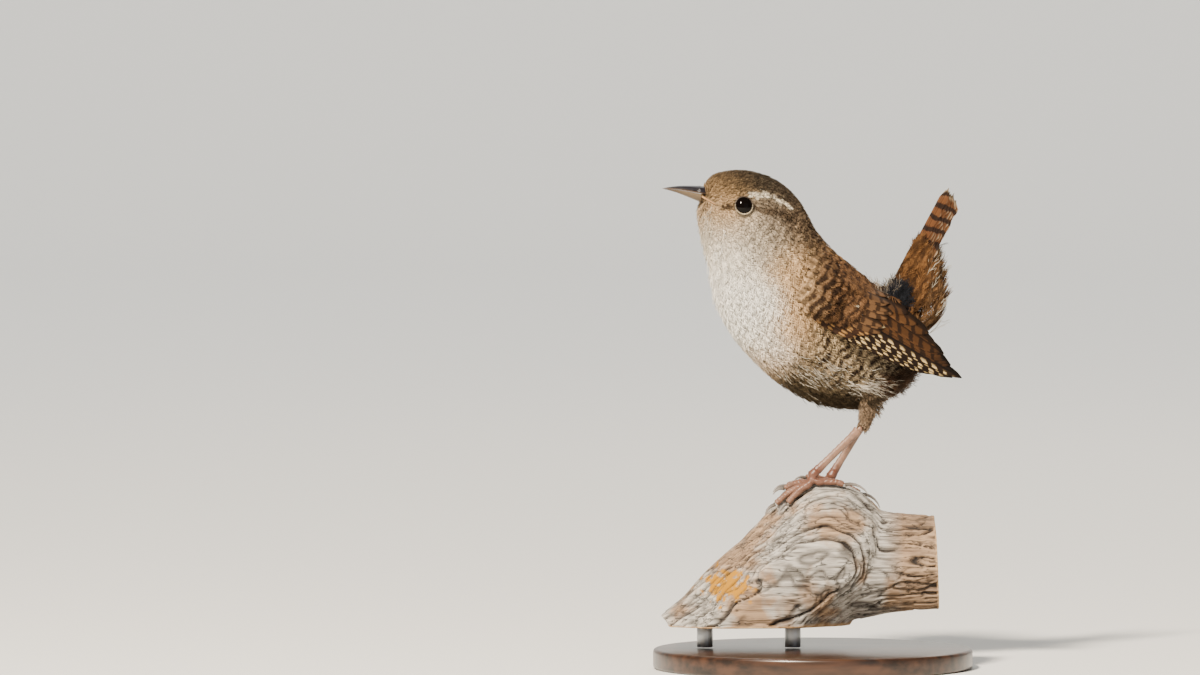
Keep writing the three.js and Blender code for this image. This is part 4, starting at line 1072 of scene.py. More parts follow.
for side in ("left", "right"):
    sheet = wing_sheet(side)
    vanes = []
    for kind, tier in TIERS.items():
        for i in range(tier["count"]):
            share = i / (tier["count"] - 1)
            root = np.array(tier["root"][0]) * (1 - share) + np.array(tier["root"][1]) * share
            tip = np.array(tier["tip"][0]) * (1 - share) + np.array(tier["tip"][1]) * share
            root += random.normal(0, 0.12, 2)
            tip += random.normal(0, 0.7 if kind == "greater_covert" else 0.15, 2)
            tip[0] += tier["bow"] * math.sin(math.pi * share)
            shaft_way = tip - root
            length = np.linalg.norm(shaft_way)
            shaft_way /= length
            cross_way = np.array([-shaft_way[1], shaft_way[0]])
            grids = vane_grid(length, tier["width"], tier["pointed"], tier["ragged"], VANE_THICKNESS)
            flat = np.concatenate([g.reshape(-1, 3) for g in grids])
            p = root[0] + shaft_way[0] * flat[:, 0] + cross_way[0] * flat[:, 1]
            q = root[1] + shaft_way[1] * flat[:, 0] + cross_way[1] * flat[:, 1]
            gone = flat[:, 0] / length
            level = tier["level"] * (0.4 + 0.6 * gone) + 0.1 * gone - 0.12 * flat[:, 1] + flat[:, 2]
            level += 0.05 * i - 0.35 * (1 - gone) ** 2
            points, _ = on_wing(p, q, level, sheet, side)
            # The inner web is near black: partly its own dusky colour, partly painted shade that shows as
            # dark lines between the stacked feathers.
            inward = np.clip(flat[:, 1] / 0.5 + 0.5, 0, 1)
            web = np.array(linear(tier["web"])) * random.uniform(0.8, 1.2)
            tone_values = blend_tones(web, tier["inner"], inward)
            edge = np.clip((-flat[:, 1] - tier["width"] * 0.4) / 0.25, 0, 1)
            if kind != "primary":
                tone_values = blend_tones(tone_values, tone_values * 1.5, edge)
            tip_dark = np.clip((gone - 0.9) / 0.08, 0, 1) * (0.7 if kind == "secondary" else 0.3)
            tone_values = blend_tones(tone_values, "#1b110a", tip_dark)
            # One lower greater covert has a pale tip.
            if kind == "greater_covert" and i == 1:
                spot = np.clip((gone - 0.93) / 0.03, 0, 1) * np.clip(1.2 - np.abs(flat[:, 1]) / 0.5, 0, 1)
                tone_values = blend_tones(tone_values, "#cdb98f", spot)
            strength = np.full(len(p), tier["strength"])
            if tier["spotted"]:
                from_edge = flat[:, 1] + tier["width"] * 0.5
                strength *= np.clip(from_edge / 0.2 - 1, -1, 1.1) * np.clip((0.95 - from_edge) / 0.3, 0, 1)
                strength *= np.clip((0.97 - gone) / 0.1, 0, 1)
            else:
                strength *= 1 - inward * 0.7
            # Bars nearly line up from feather to feather, and spots on two of every four are moved along.
            run = p + tier["slant"] * q + random.normal(0, 0.38 if tier["spotted"] else 0.9)
            if tier["spotted"] and i % 4 >= 2:
                run += SPOT_OFFSET
            vanes.append(dict(
                points=points, tone=tone_values, bar=strength, run=run, across=flat[:, 1],
                flip=side == "left",
                bar_tone=np.tile(np.array(linear(tier["bars"])), (len(p), 1)),
            ))
    wing = vane_piece(f"wing_feathers_{side}", vanes)
    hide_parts(f"wing_{side}")

    # Median and lesser coverts and scapulars are soft fans like the body's, over the roots of the stiff ones.
    rows = np.array([(p, q) for p in np.arange(-3.4, 11.5, 0.72) for q in np.arange(-2.4, 12.2, 0.72)])
    rows += random.normal(0, 0.28, rows.shape)
    p, q = rows[:, 0], rows[:, 1]
    kept = (p + 3.4) / 4 + np.minimum(q + 3, 13 - q) / 3 > 0.6
    kept &= (p < 10.5 - 0.25 * np.clip(3 - q, 0, None) * 2) & (q > -2.6 + 0.12 * p)
    rows = rows[kept]
    p, q = rows[:, 0], rows[:, 1]
    level = 0.12 + 0.4 * np.clip((9 - p) / 9, 0, 1) + 0.25 * np.clip((p - 6) / 4, 0, 1)
    size = random.uniform(0.85, 1.15, len(rows)) * np.interp(p, [-2, 4], [2.1, 3.4])
    places, _ = on_wing(p, q, level, sheet, side)
    body_hue, _ = plumage_at(places)
    body_hue *= random.uniform(0.5, 1.1, (len(rows), 1))
    wing_hue = np.array(linear("#6c4e34")) * random.uniform(0.4, 1.35, (len(rows), 1))
    tones = blend_tones(body_hue, wing_hue, np.clip((p + 3.2) / 7, 0, 1))
    # One in twenty is short and pale.
    pale_ones = (random.random(len(rows)) < 0.05) & (p > 1)
    tones[pale_ones] = linear("#cbbda2")
    size[pale_ones] = 1.7
    bars = np.where(pale_ones, 0, np.clip(0.6 + (p + 3) / 9, 0, 0.95))
    lay_fans("covert_fans", rows, level, sheet, side, size, tones, bars, 12, 0.12)

    # Scapulars flow from the back over the upper edge of the wing.
    rows = np.array([(p, q) for p in np.arange(0, 27, 0.85) for q in np.arange(6.4, 13.0, 0.8)])
    rows += random.normal(0, 0.3, rows.shape)
    p, q = rows[:, 0], rows[:, 1]
    rows = rows[(q > 7.2 + 0.16 * p) & (q < 13.0 - 0.2 * np.clip(p - 8, 0, None))]
    size = random.uniform(4.4, 6.0, len(rows))
    hue = np.array(linear("#64482f")) * random.uniform(0.5, 1.35, (len(rows), 1))
    level = 0.75 * np.clip(rows[:, 0] / 6, 0.1, 1)
    bars = np.full(len(rows), 0.9)
    lay_fans("scapulars", rows, level, sheet, side, size, hue, bars, 14, 0.03, drop=0.18)

# Tail
# Twelve narrow barred feathers, folded over one another in a closed fan and cocked up steeply.
# The outer pairs are shorter, with pale edges and worn tips.
TAIL_ROOT = np.array([19.6, 0, 44.8])
TAIL_SLOPE = math.radians(TAIL_DEGREES)
TAIL_ROLL = math.radians(22)
TAIL_LENGTH, TAIL_SHEATH = 32.5, 3
TAIL_VANE = dict(width=4.5, pointed=0.05, ragged=0.28, thickness=0.2)
tail_axis = np.array([math.cos(TAIL_SLOPE), 0, math.sin(TAIL_SLOPE)])
tail_roof = np.array([
    -math.sin(TAIL_SLOPE) * math.cos(TAIL_ROLL),
    -math.sin(TAIL_ROLL),
    math.cos(TAIL_SLOPE) * math.cos(TAIL_ROLL),
])
tail_across = np.cross(tail_axis, tail_roof)
vanes = []
for pair in range(6):
    for sign in (-1, 1):
        length = TAIL_LENGTH - 0.25 * pair - TAIL_SHEATH - abs(random.normal(0, 0.5))
        grids = vane_grid(length, **TAIL_VANE)
        flat = np.concatenate([g.reshape(-1, 3) for g in grids])
        gone = flat[:, 0] / length
        narrow = 1 - 0.14 * gone
        middle = sign * (0.5 + pair * 0.54) * narrow
        out_mm = middle + flat[:, 1] * narrow
        up = 0.7 + flat[:, 2] - pair * 0.34 - 0.04 * out_mm**2 + (0.12 if sign > 0 else 0)
        points = TAIL_ROOT + tail_axis * (flat[:, :1] + TAIL_SHEATH)
        points = points + tail_across * out_mm[:, None] + tail_roof * up[:, None]
        hue = np.array(linear("#643f23")) * random.uniform(0.8, 1.2)
        tone_values = blend_tones(hue, hue * 0.4, np.clip(sign * -flat[:, 1] / 1.5, 0, 1) * 0.6)
        # Painted shade: on the bird's left the tail grows darker outwards, to 55 percent at its outer
        # feathers.
        tone_values = tone_values * (1 - 0.45 * np.clip(out_mm / 3, 0, 1))[:, None]
        rim = np.clip((sign * flat[:, 1] - 1.75) / 0.35, 0, 1) * (0.14 + 0.1 * pair)
        rim = np.maximum(rim, np.clip((gone - 0.95) / 0.04, 0, 1) * 0.8)
        tone_values = blend_tones(tone_values, "#ab9b80", rim)
        vanes.append(dict(
            points=points, tone=tone_values, bar=1.2 * (1 - rim * 0.7), across=flat[:, 1], flip=False,
            run=flat[:, 0] + random.normal(0, 0.25),
            bar_tone=np.tile(np.array(linear("#1f120a")), (len(points), 1)),
        ))
tail = vane_piece("tail_feathers", vanes)
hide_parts("tail")

# Coverts clothe the tail's lower half all round, rufous and loose, on a flattened cone that narrows upwards.
# The cone is given by five rings: a place x, z on its front edge, one on its rear edge, and a half width.
COVERT_ROOF = np.array([(16.6, 46.0), (18.2, 50.2), (20.3, 54.0), (22.4, 57.0), (24.6, 59.8)])
COVERT_BACK = np.array([(25.0, 33.0), (31.2, 37.2), (32.8, 43.4), (32.2, 50.0), (31.2, 55.6)])
COVERT_HALF = np.array([6.2, 6.2, 5.4, 4.4, 3.5])
COVERT_COUNT = 620


def covert_ring(share, round_it, out):
    """Places and outward directions round the cone, at shares of its length and turns from its roof."""
    steps = np.arange(len(COVERT_HALF))
    roof = np.stack([np.interp(share, steps, COVERT_ROOF[:, k]) for k in (0, 1)], axis=1)
    back = np.stack([np.interp(share, steps, COVERT_BACK[:, k]) for k in (0, 1)], axis=1)
    half = np.interp(share, steps, COVERT_HALF)
    reach = (roof - back) / 2
    flat = (roof + back) / 2 + reach * np.cos(round_it)[:, None] * out
    places = np.stack([flat[:, 0], half * np.sin(round_it) * out, flat[:, 1]], axis=1)
    deep = np.linalg.norm(reach, axis=1)
    across_it = reach / deep[:, None] * (np.cos(round_it) * half)[:, None]
    faces = np.stack([across_it[:, 0], np.sin(round_it) * deep, across_it[:, 1]], axis=1)
    return places, faces / np.linalg.norm(faces, axis=1, keepdims=True)


def along_tail(faces, spread):
    """Unit directions up the tail, each a little astray, that lie in the surface."""
    ways = tail_axis + random.normal(0, spread, faces.shape)
    ways -= faces * (ways * faces).sum(axis=1, keepdims=True)
    return ways / np.linalg.norm(ways, axis=1, keepdims=True)


share = random.random(COVERT_COUNT) ** 0.9 * (len(COVERT_HALF) - 1)
round_it = random.uniform(0, 2 * math.pi, COVERT_COUNT)
roots, faces = covert_ring(share, round_it, 0.8)
size = random.uniform(4.6, 7.0, COVERT_COUNT) * np.interp(share, [0, 2, 4], [1, 1, 0.75])
pale = np.clip(-np.cos(round_it) * 0.8, 0, 1) * 0.5
hue = np.array(linear("#73502f")) * random.uniform(0.5, 1.35, (COVERT_COUNT, 1))
fans(
    "tail_coverts", roots, faces, along_tail(faces, 0.06), size, size * 0.5, np.full(COVERT_COUNT, 0.03),
    np.full(COVERT_COUNT, 0.012), blend_tones(hue, "#8d775c", pale), np.full(COVERT_COUNT, 0.7), 14,
    stray=0.12, barb_width=0.1, pieces=2,
)

# Whitish hair-like feathers curl off the cone's rear edge.
CURL_COUNT = 70
share = random.uniform(0.8, 4.2, CURL_COUNT)
roots, faces = covert_ring(share, math.pi + random.normal(0, 0.55, CURL_COUNT), 0.88)
size = random.uniform(3.0, 5.6, CURL_COUNT)
tones = np.array(linear("#cfc4b0")) * random.uniform(0.6, 1.15, (CURL_COUNT, 1))
fans(
    "tail_curls", roots, faces, along_tail(faces, 0.25), size, size * 0.3,
    random.uniform(0.05, 0.4, CURL_COUNT), random.uniform(-0.02, 0.06, CURL_COUNT), tones,
    np.zeros(CURL_COUNT), 6, stray=0.25, barb_width=0.05,
)

# Down and wisps
# Loose hair-like feathers: slate-black down bared at the root of the tail, pale wisps under it, on the
# flanks over the thighs, at the chin and along the belly. They stand a little off the coat.
def wisps(name, count, centre, scatter_mm, way, way_spread, length, barbs, hue, hue_spread, lift, width=0.4,
          barb_width=0.05, curve=0.0):
    """Seeded loose feathers round a place x, z on each side of the bird."""
    for side in ("left", "right"):
        sign = -1 if side == "left" else 1
        roots, faces = [], []
        while len(roots) < count:
            x, z = np.array(centre) + random.normal(0, 1, 2) * scatter_mm
            hit, out, _, _ = skin_tree.ray_cast(Vector((x, sign * 40, z)), Vector((0, -sign, 0)))
            if hit is not None:
                roots.append(np.array(hit))
                faces.append(np.array(out))
        roots, faces = np.array(roots), np.array(faces)
        ways = np.array([way[0], 0, way[1]]) + random.normal(0, way_spread, (count, 3))
        ways -= faces * (ways * faces).sum(axis=1, keepdims=True)
        ways /= np.linalg.norm(ways, axis=1, keepdims=True)
        size = random.uniform(*length, count)
        tones = np.array(linear(hue)) * random.uniform(1 - hue_spread, 1 + hue_spread, (count, 1))
        fans(f"{name}_{side}", roots, faces, ways, size, size * width, np.full(count, lift),
             np.full(count, curve), tones, np.zeros(count), barbs, stray=0.2, barb_width=barb_width)


# Each group: how many to a side, where and how widely scattered, which way they point and how far astray,
# the least and greatest length, barbs to a feather, colour and its spread, and slope off the coat.
wisps("rump_down", 170, (20.8, 46.2), (1.5, 1.3), (0.35, 0.6), 0.45, (2.6, 4.4), 12, "#222429", 0.8, 0.5,
      width=0.8)
wisps("rump_fluff", 60, (18.0, 48.6), (1.4, 1.2), (0.0, 1.0), 0.4, (2.5, 4.4), 5, "#9a8d7c", 0.4, 0.6)
wisps("undertail_wisps", 46, (30.2, 42.5), (0.9, 3.8), (0.6, 0.85), 0.3, (3.5, 6.5), 7, "#d9cdb6", 0.35, 0.3,
      curve=-0.02)
wisps("tail_side_wisps", 30, (29.0, 51.5), (0.9, 3.2), (0.35, 1.0), 0.15, (3.5, 6.0), 6, "#d6c6ab", 0.35, 0.2)
wisps("flank_wisps", 50, (9.0, 25.4), (2.6, 1.2), (1.0, -0.22), 0.2, (3.6, 6.4), 6, "#d9d0c0", 0.35, 0.26,
      width=0.18, barb_width=0.038)
wisps("belly_streaks", 110, (-3.0, 29.5), (4.5, 1.8), (0.85, -0.5), 0.16, (3.6, 5.6), 5, "#cfc5b3", 0.35,
      0.18, width=0.16, barb_width=0.036)
wisps("tibia_feathers", 260, (12.7, 18.2), (1.3, 1.5), (-0.1, -1.0), 0.2, (1.2, 2.1), 8, "#957e66", 0.25,
      0.48, width=0.5)
# Painted shade: the hairs under the belly and at the vent are dark as the underside's shade, the vent's
# partly its own brown.
wisps("shaded_under_hair", 220, (2.0, 21.6), (7.0, 1.0), (0.95, -0.3), 0.22, (2.6, 4.2), 6, "#3a3022", 0.5, 0.36)
wisps("shaded_vent_hair", 200, (20.0, 25.0), (3.6, 1.8), (0.9, -0.2), 0.3, (3.0, 5.5), 7, "#4a382a", 0.7, 0.32)
wisps("chin_hair", 60, (-27.6, 63.0), (0.5, 4.5), (-0.12, -1.0), 0.22, (1.8, 3.2), 5, "#cfc6b4", 0.25, 0.3)
wisps("breast_hair", 90, (-25.6, 46.0), (1.0, 6.0), (0.2, -1.0), 0.2, (2.4, 4.0), 5, "#f2ede4", 0.15, 0.3)
wisps("back_hair", 120, (6.0, 55.5), (5.0, 3.6), (0.7, -0.7), 0.2, (2.2, 3.6), 6, "#a67c52", 0.5, 0.24)

# Legs and feet
# Bare shanks and toes in horny scales: broad overlapping plates down the front, rings along the toes.
# Each leg is cast whole from its solids, with the heel and ankle filled, and the plates raised in it.
LEG_CELL, CLAW_CELL = 0.12, 0.07
PLATE_STEP, RING_STEP = 1.5, 0.9
SCALE_RISE, SEAM_SHARE = 0.15, 0.34
TOE_SWELL = 0.2
# Dry horny skin over flesh has a low satin shine, is dark in the seams and redder at the joints.
scaled, tree, shader = paint("scaled leg skin")
plate = node(tree, "ShaderNodeAttribute", attribute_name="plate")
joint = node(tree, "ShaderNodeAttribute", attribute_name="joint")
place = node(tree, "ShaderNodeTexCoord")
speckle = node(tree, "ShaderNodeTexNoise", [(place.outputs["Object"], "Vector")], Scale=1000, Detail=3)
base = node(tree, "ShaderNodeMix", [(joint.outputs["Fac"], "Factor")], data_type="RGBA")
base.inputs[6].default_value = (*linear("#886855"), 1)
base.inputs[7].default_value = (*linear("#5e3122"), 1)
seams = node(tree, "ShaderNodeMapRange", [(plate.outputs["Fac"], "Value")])
seams.inputs["From Max"].default_value = 0.3
seams.inputs["To Min"].default_value = 0.35
seams.inputs["To Max"].default_value = 1
mottled = node(tree, "ShaderNodeMapRange", [(speckle.outputs["Fac"], "Value")])
mottled.inputs["To Min"].default_value = 0.45
mottled.inputs["To Max"].default_value = 1.45
lit = node(tree, "ShaderNodeMath", [(seams.outputs[0], 0), (mottled.outputs[0], 1)], operation="MULTIPLY")
leg_tone = node(tree, "ShaderNodeVectorMath", [
    (base.outputs[2], 0), (lit.outputs[0], 1),
], operation="MULTIPLY")
tree.links.new(leg_tone.outputs[0], shader.inputs["Base Color"])
shader.inputs["Roughness"].default_value = 0.4
shader.inputs["Subsurface Weight"].default_value = 0.05
shader.inputs["Subsurface Radius"].default_value = (0.002, 0.0008, 0.0005)
# Claws are smooth worn horn, glossier than the scales, dark at the root and paler at the point.
keratin, tree, shader = paint("claw horn")
root_share = node(tree, "ShaderNodeAttribute", attribute_name="along")
claw_tone = node(tree, "ShaderNodeValToRGB", [(root_share.outputs["Fac"], "Fac")])
claw_tone.color_ramp.elements[0].color = (*linear("#4f463f"), 1)
claw_tone.color_ramp.elements[1].color = (*linear("#9d9791"), 1)
tree.links.new(claw_tone.outputs["Color"], shader.inputs["Base Color"])
shader.inputs["Roughness"].default_value = 0.25

# Balls fill out the heel, and a row of them swells the shank's end into the ankle.
HEEL_RADIUS, SHANK_RADIUS, ANKLE_RADIUS = 0.8, 0.78, 1.02
ANKLE_BALLS, BALL_STEP, ANKLE_RISE = 7, 0.4, 1.2
for side in ("left", "right"):
    shank_at = to_bird(points_of(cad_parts[f"tarsus_{side}"].data))
    lean = np.linalg.svd(shank_at - shank_at.mean(axis=0), full_matrices=False)[2][0]
    down_it = shank_at @ (lean * -np.sign(lean[2]))
    top = shank_at[down_it < down_it.min() + 0.5].mean(axis=0)
    low = shank_at[down_it > down_it.max() - 0.5].mean(axis=0)
    way = (low - top) / np.linalg.norm(low - top)
    fillers = [(top - way * 0.5, HEEL_RADIUS)]
    for k in range(ANKLE_BALLS):
        radius = SHANK_RADIUS + (ANKLE_RADIUS - SHANK_RADIUS) * k / (ANKLE_BALLS - 1)
        fillers.append((low + way * (BALL_STEP * k - ANKLE_RISE), radius))
    leg = copy_nodes(f"leg_{side}", [f"tarsus_{side}", f"foot_{side}"])
    bpy.ops.object.select_all(action="DESELECT")
    for centre, radius in fillers:
        bpy.ops.mesh.primitive_uv_sphere_add(segments=24, ring_count=16, radius=radius * MM)
        ball = bpy.context.object
        ball.location = to_world(centre[None])[0]
        bpy.ops.object.transform_apply(location=True, rotation=True, scale=True)
        leg.select_set(True)
        bpy.context.view_layer.objects.active = leg
        bpy.ops.object.join()
        bpy.ops.object.select_all(action="DESELECT")
    modify(leg, "REMESH", mode="VOXEL", voxel_size=LEG_CELL * MM)
    modify(leg, "SMOOTH", factor=0.5, iterations=14)
    at = to_bird(points_of(leg.data))
    out = normals_of(leg.data) @ TURN
    along_shank = (at - top) @ way
    shank_length = np.linalg.norm(low - top)
    off_shank = np.linalg.norm(at - top - along_shank[:, None] * way, axis=1)
    is_shank = np.clip((shank_length + 0.6 - along_shank) / 0.8, 0, 1) * (off_shank < 2)
    front = np.clip(0.35 - out[:, 0], 0, 1)
    upper = np.clip(out[:, 2] + 0.5, 0, 1)
    plate_part = np.mod(along_shank / PLATE_STEP, 1)
    toe_part = np.mod(np.linalg.norm(at - low, axis=1) / RING_STEP, 1)
    part = np.where(is_shank > 0.5, plate_part, toe_part)
    face = np.where(is_shank > 0.5, front, upper)
    at += out * (SCALE_RISE * face * (1 - part))[:, None]
    at += out * (TOE_SWELL * (1 - is_shank))[:, None]
    set_points(leg.data, to_world(at))
    store(leg.data, "plate", 1 - (1 - np.clip(part / SEAM_SHARE, 0, 1)) * np.clip(face * 1.5, 0, 1))
    ankle = np.clip((along_shank / shank_length - 0.8) / 0.2, 0, 1)
    toe_tone = np.clip(1 - np.linalg.norm(at - low, axis=1) / 14, 0.3, 1)
    store(leg.data, "joint", np.where(is_shank > 0.5, ankle * 0.85, toe_tone * 0.85))
    leg.data.materials.append(scaled)
    smooth_shaded(leg)
    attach(leg, "root")
    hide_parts(f"tarsus_{side}", f"foot_{side}")
    for toe in ("inner", "middle", "outer", "hind"):
        name = f"claw_{toe}_{side}"
        claw = copy_nodes(f"{name}_horn", [name])
        modify(claw, "REMESH", mode="VOXEL", voxel_size=CLAW_CELL * MM)
        modify(claw, "SMOOTH", factor=0.5, iterations=4)
        at = to_bird(points_of(claw.data))
        gone = np.linalg.norm(at - low, axis=1)
        gone = (gone - gone.min()) / (gone.max() - gone.min())
        store(claw.data, "along", gone)
        claw.data.materials.append(keratin)
        smooth_shaded(claw)
        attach(claw, "root")
        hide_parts(name)

# Perch
# A sawn length of dead olive wood, bleached grey and split along its grain, with the stub of a side limb.
# Its bark is long gone. Cracks and ridges are carved into it, and the sawn ends show the rings.
WOOD_CELL = 0.42
SPLIT_DEPTH, FISSURE_DEPTH, SWELL_DEPTH, LEAST_DEPTH = 1.3, 0.45, 0.45, 0.05
LICHEN_PLACE, LICHEN_SIZE = (-21.5, SOLE - 24.3), (4.6, 3.2)
LIMB_SLOPE = math.radians(43)
STUB_START, STUB_END = np.array([8, 0, SOLE - 20.5]), np.array([31, 0, SOLE - 19.5])
limb_axis = np.array([math.cos(LIMB_SLOPE), 0, math.sin(LIMB_SLOPE)])
stub_axis = (STUB_END - STUB_START) / np.linalg.norm(STUB_END - STUB_START)
perch = copy_nodes("perch_wood", ["perch"])
modify(perch, "REMESH", mode="VOXEL", voxel_size=WOOD_CELL * MM)
at = points_of(perch.data) / MM
out = normals_of(perch.data)
low = at[:, 2].min()
sawn = np.clip((low + 0.9 - at[:, 2]) / 0.6, 0, 1) * (out[:, 2] < -0.5)
sawn = np.maximum(sawn, np.clip((at[:, 0] - 30.2) / 0.5, 0, 1) * (out[:, 0] > 0.6))
from_stub = at - STUB_START
stub_off = np.linalg.norm(from_stub - (from_stub @ stub_axis)[:, None] * stub_axis, axis=1)
on_stub = np.clip((at[:, 0] - 17.5) / 5, 0, 1) * np.clip((17 - stub_off) / 2, 0, 1)


def grain_marks(place, axis):
    """Split, fissure at one place of wood whose grain runs along an axis, in millimetres."""
    gone = float(place @ axis)
    rest = place - gone * axis
    wander = noise.noise(Vector(place * 0.12)) * 0.3
    spot = Vector((gone * 0.016, rest[1] * 0.2 + wander, (rest[0] + rest[2]) * 0.2 + wander))
    split = max(0.0, (0.19 - abs(noise.noise(spot * 1.7)) * 2) / 0.19) ** 1.2
    fissure = max(0.0, (0.26 - abs(noise.noise(spot * 5.0 + Vector((9, 4, 1)))) * 2) / 0.26)
    return np.array([split, fissure])


carve = np.zeros(len(at))
crack_shade_values = np.zeros(len(at))
lichen_values = np.zeros(len(at))
for i, (p, s, cut) in enumerate(zip(at, on_stub, sawn)):
    marks = grain_marks(p, limb_axis) * (1 - s) if s < 1 else 0
    if s > 0:
        marks = marks + grain_marks(p, stub_axis) * s
    split, fissure = marks
    swell = noise.noise(Vector(p * 0.11)) * 0.5 + noise.noise(Vector(p * 0.3)) * 0.2
    depth = SPLIT_DEPTH * split + FISSURE_DEPTH * fissure + SWELL_DEPTH * (1 - swell) - 0.2
    carve[i] = -max(LEAST_DEPTH, depth) * (1 - cut)
    # The crack mask also says where the wood is painted dark with the shade inside the cracks.
    crack_shade_values[i] = min(1.0, split * 1.4 + fissure * 0.8) * (1 - cut)
    from_lichen = (p[[0, 2]] - LICHEN_PLACE) / LICHEN_SIZE
    spread_out = math.hypot(*from_lichen)
    patchy = noise.noise(Vector(p * 0.55)) + 0.5 * noise.noise(Vector(p * 1.5))
    lichen_values[i] = min(1.0, max(0.0, (1.15 - spread_out + patchy * 1.3) * 3)) * (out[i][1] < 0.3)
# The carving is shallower where the toes grip the wood.
near_toes = np.clip((at[:, 2] - (SOLE - 7)) / 3, 0, 1) * np.clip((13 - np.abs(at[:, 0])) / 3, 0, 1)
carve *= 1 - 0.55 * near_toes
set_points(perch.data, (at + out * carve[:, None]) * MM)
modify(perch, "SMOOTH", factor=0.3, iterations=1)
store(perch.data, "crack", crack_shade_values)
store(perch.data, "sawn", sawn)
store(perch.data, "stub", on_stub)
store(perch.data, "lichen", lichen_values)

# Bare wood bleached by sun and rain is matt and silver grey along the grain, tan where it is fresher.
weathered, tree, shader = paint("weathered olive wood")
place = node(tree, "ShaderNodeTexCoord")
aligned = node(tree, "ShaderNodeMapping", [(place.outputs["Object"], "Vector")])
aligned.inputs["Rotation"].default_value = (0, LIMB_SLOPE, 0)
aligned.inputs["Scale"].default_value = (60, 700, 700)
fibre = node(tree, "ShaderNodeTexNoise", [(aligned.outputs[0], "Vector")], Scale=1, Detail=6, Roughness=0.65)
patches = node(tree, "ShaderNodeTexNoise", [(place.outputs["Object"], "Vector")], Scale=90, Detail=4)
crack = node(tree, "ShaderNodeAttribute", attribute_name="crack")
sawn_face = node(tree, "ShaderNodeAttribute", attribute_name="sawn")
stub = node(tree, "ShaderNodeAttribute", attribute_name="stub")
silver = node(tree, "ShaderNodeValToRGB", [(fibre.outputs["Fac"], "Fac")])
silver.color_ramp.elements[0].position = 0.32
silver.color_ramp.elements[0].color = (*linear("#59544d"), 1)
silver.color_ramp.elements[1].position = 0.62
silver.color_ramp.elements[1].color = (*linear("#bfb9b0"), 1)
tan = node(tree, "ShaderNodeValToRGB", [(fibre.outputs["Fac"], "Fac")])
tan.color_ramp.elements[0].position = 0.32
tan.color_ramp.elements[0].color = (*linear("#5d493a"), 1)
tan.color_ramp.elements[1].position = 0.62
tan.color_ramp.elements[1].color = (*linear("#a98d70"), 1)
where = node(tree, "ShaderNodeMapRange", [(patches.outputs["Fac"], "Value")])
where.inputs["From Min"].default_value = 0.48
where.inputs["From Max"].default_value = 0.6
warm = node(tree, "ShaderNodeMath", [(where.outputs[0], 0), (stub.outputs["Fac"], 1)], operation="MAXIMUM")
face = node(tree, "ShaderNodeMix", [
    (warm.outputs[0], "Factor"), (silver.outputs["Color"], 6), (tan.outputs["Color"], 7),
], data_type="RGBA")
stretched = node(tree, "ShaderNodeMapping", [(place.outputs["Object"], "Vector")])
stretched.inputs["Rotation"].default_value = (0, LIMB_SLOPE, 0)
stretched.inputs["Scale"].default_value = (24, 420, 420)
hairline = node(tree, "ShaderNodeTexNoise", [(stretched.outputs[0], "Vector")], Scale=1, Detail=3)
from_line = node(tree, "ShaderNodeMath", [(hairline.outputs["Fac"], 0)], operation="SUBTRACT", i1=0.5)
off_line = node(tree, "ShaderNodeMath", [(from_line.outputs[0], 0)], operation="ABSOLUTE")
line_tone = node(tree, "ShaderNodeMapRange", [(off_line.outputs[0], "Value")])
line_tone.inputs["From Max"].default_value = 0.024
line_tone.inputs["To Min"].default_value = 0.12
lined = node(tree, "ShaderNodeVectorMath", [
    (face.outputs[2], 0), (line_tone.outputs[0], 1),
], operation="MULTIPLY")
lichen = node(tree, "ShaderNodeAttribute", attribute_name="lichen")
crusted = node(tree, "ShaderNodeMix", [
    (lichen.outputs["Fac"], "Factor"), (lined.outputs[0], 6),
], data_type="RGBA")
crusted.inputs[7].default_value = (*linear("#ab7700"), 1)
# Painted shade: the cracks are darkened to near black, as the shade inside them.
crack_shaded = node(tree, "ShaderNodeMix", [
    (crack.outputs["Fac"], "Factor"), (crusted.outputs[2], 6),
], data_type="RGBA")
crack_shaded.inputs[7].default_value = (*linear("#241d18"), 1)
rings = node(tree, "ShaderNodeTexWave", [
    (place.outputs["Object"], "Vector"),
], Scale=240, Distortion=6, wave_type="RINGS")
ring_tone = node(tree, "ShaderNodeValToRGB", [(rings.outputs["Fac"], "Fac")])
ring_tone.color_ramp.elements[0].color = (*linear("#a9845a"), 1)
ring_tone.color_ramp.elements[1].color = (*linear("#d2b084"), 1)
wood_tone = node(tree, "ShaderNodeMix", [
    (sawn_face.outputs["Fac"], "Factor"), (crack_shaded.outputs[2], 6), (ring_tone.outputs["Color"], 7),
], data_type="RGBA")
tree.links.new(wood_tone.outputs[2], shader.inputs["Base Color"])
relief = node(tree, "ShaderNodeBump", [(fibre.outputs["Fac"], "Height")], Strength=0.6, Distance=0.0004)
tree.links.new(relief.outputs[0], shader.inputs["Normal"])
shader.inputs["Roughness"].default_value = 0.88
perch.data.materials.append(weathered)
smooth_shaded(perch)
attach(perch, "root")
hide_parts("perch")

# Stand
# A turned disc of dark stained wood with an eased edge, and two brushed steel pins up to the perch.
BASE_RADIUS, BASE_HEIGHT = 40.0, 5.0
BASE_EASING, PIN_EASING = 0.9, 0.12


def crisp_edges(piece):
    """Shades an object smooth, but for its corners."""
    activate(piece)
    bpy.ops.object.shade_smooth_by_angle(angle=math.radians(35))


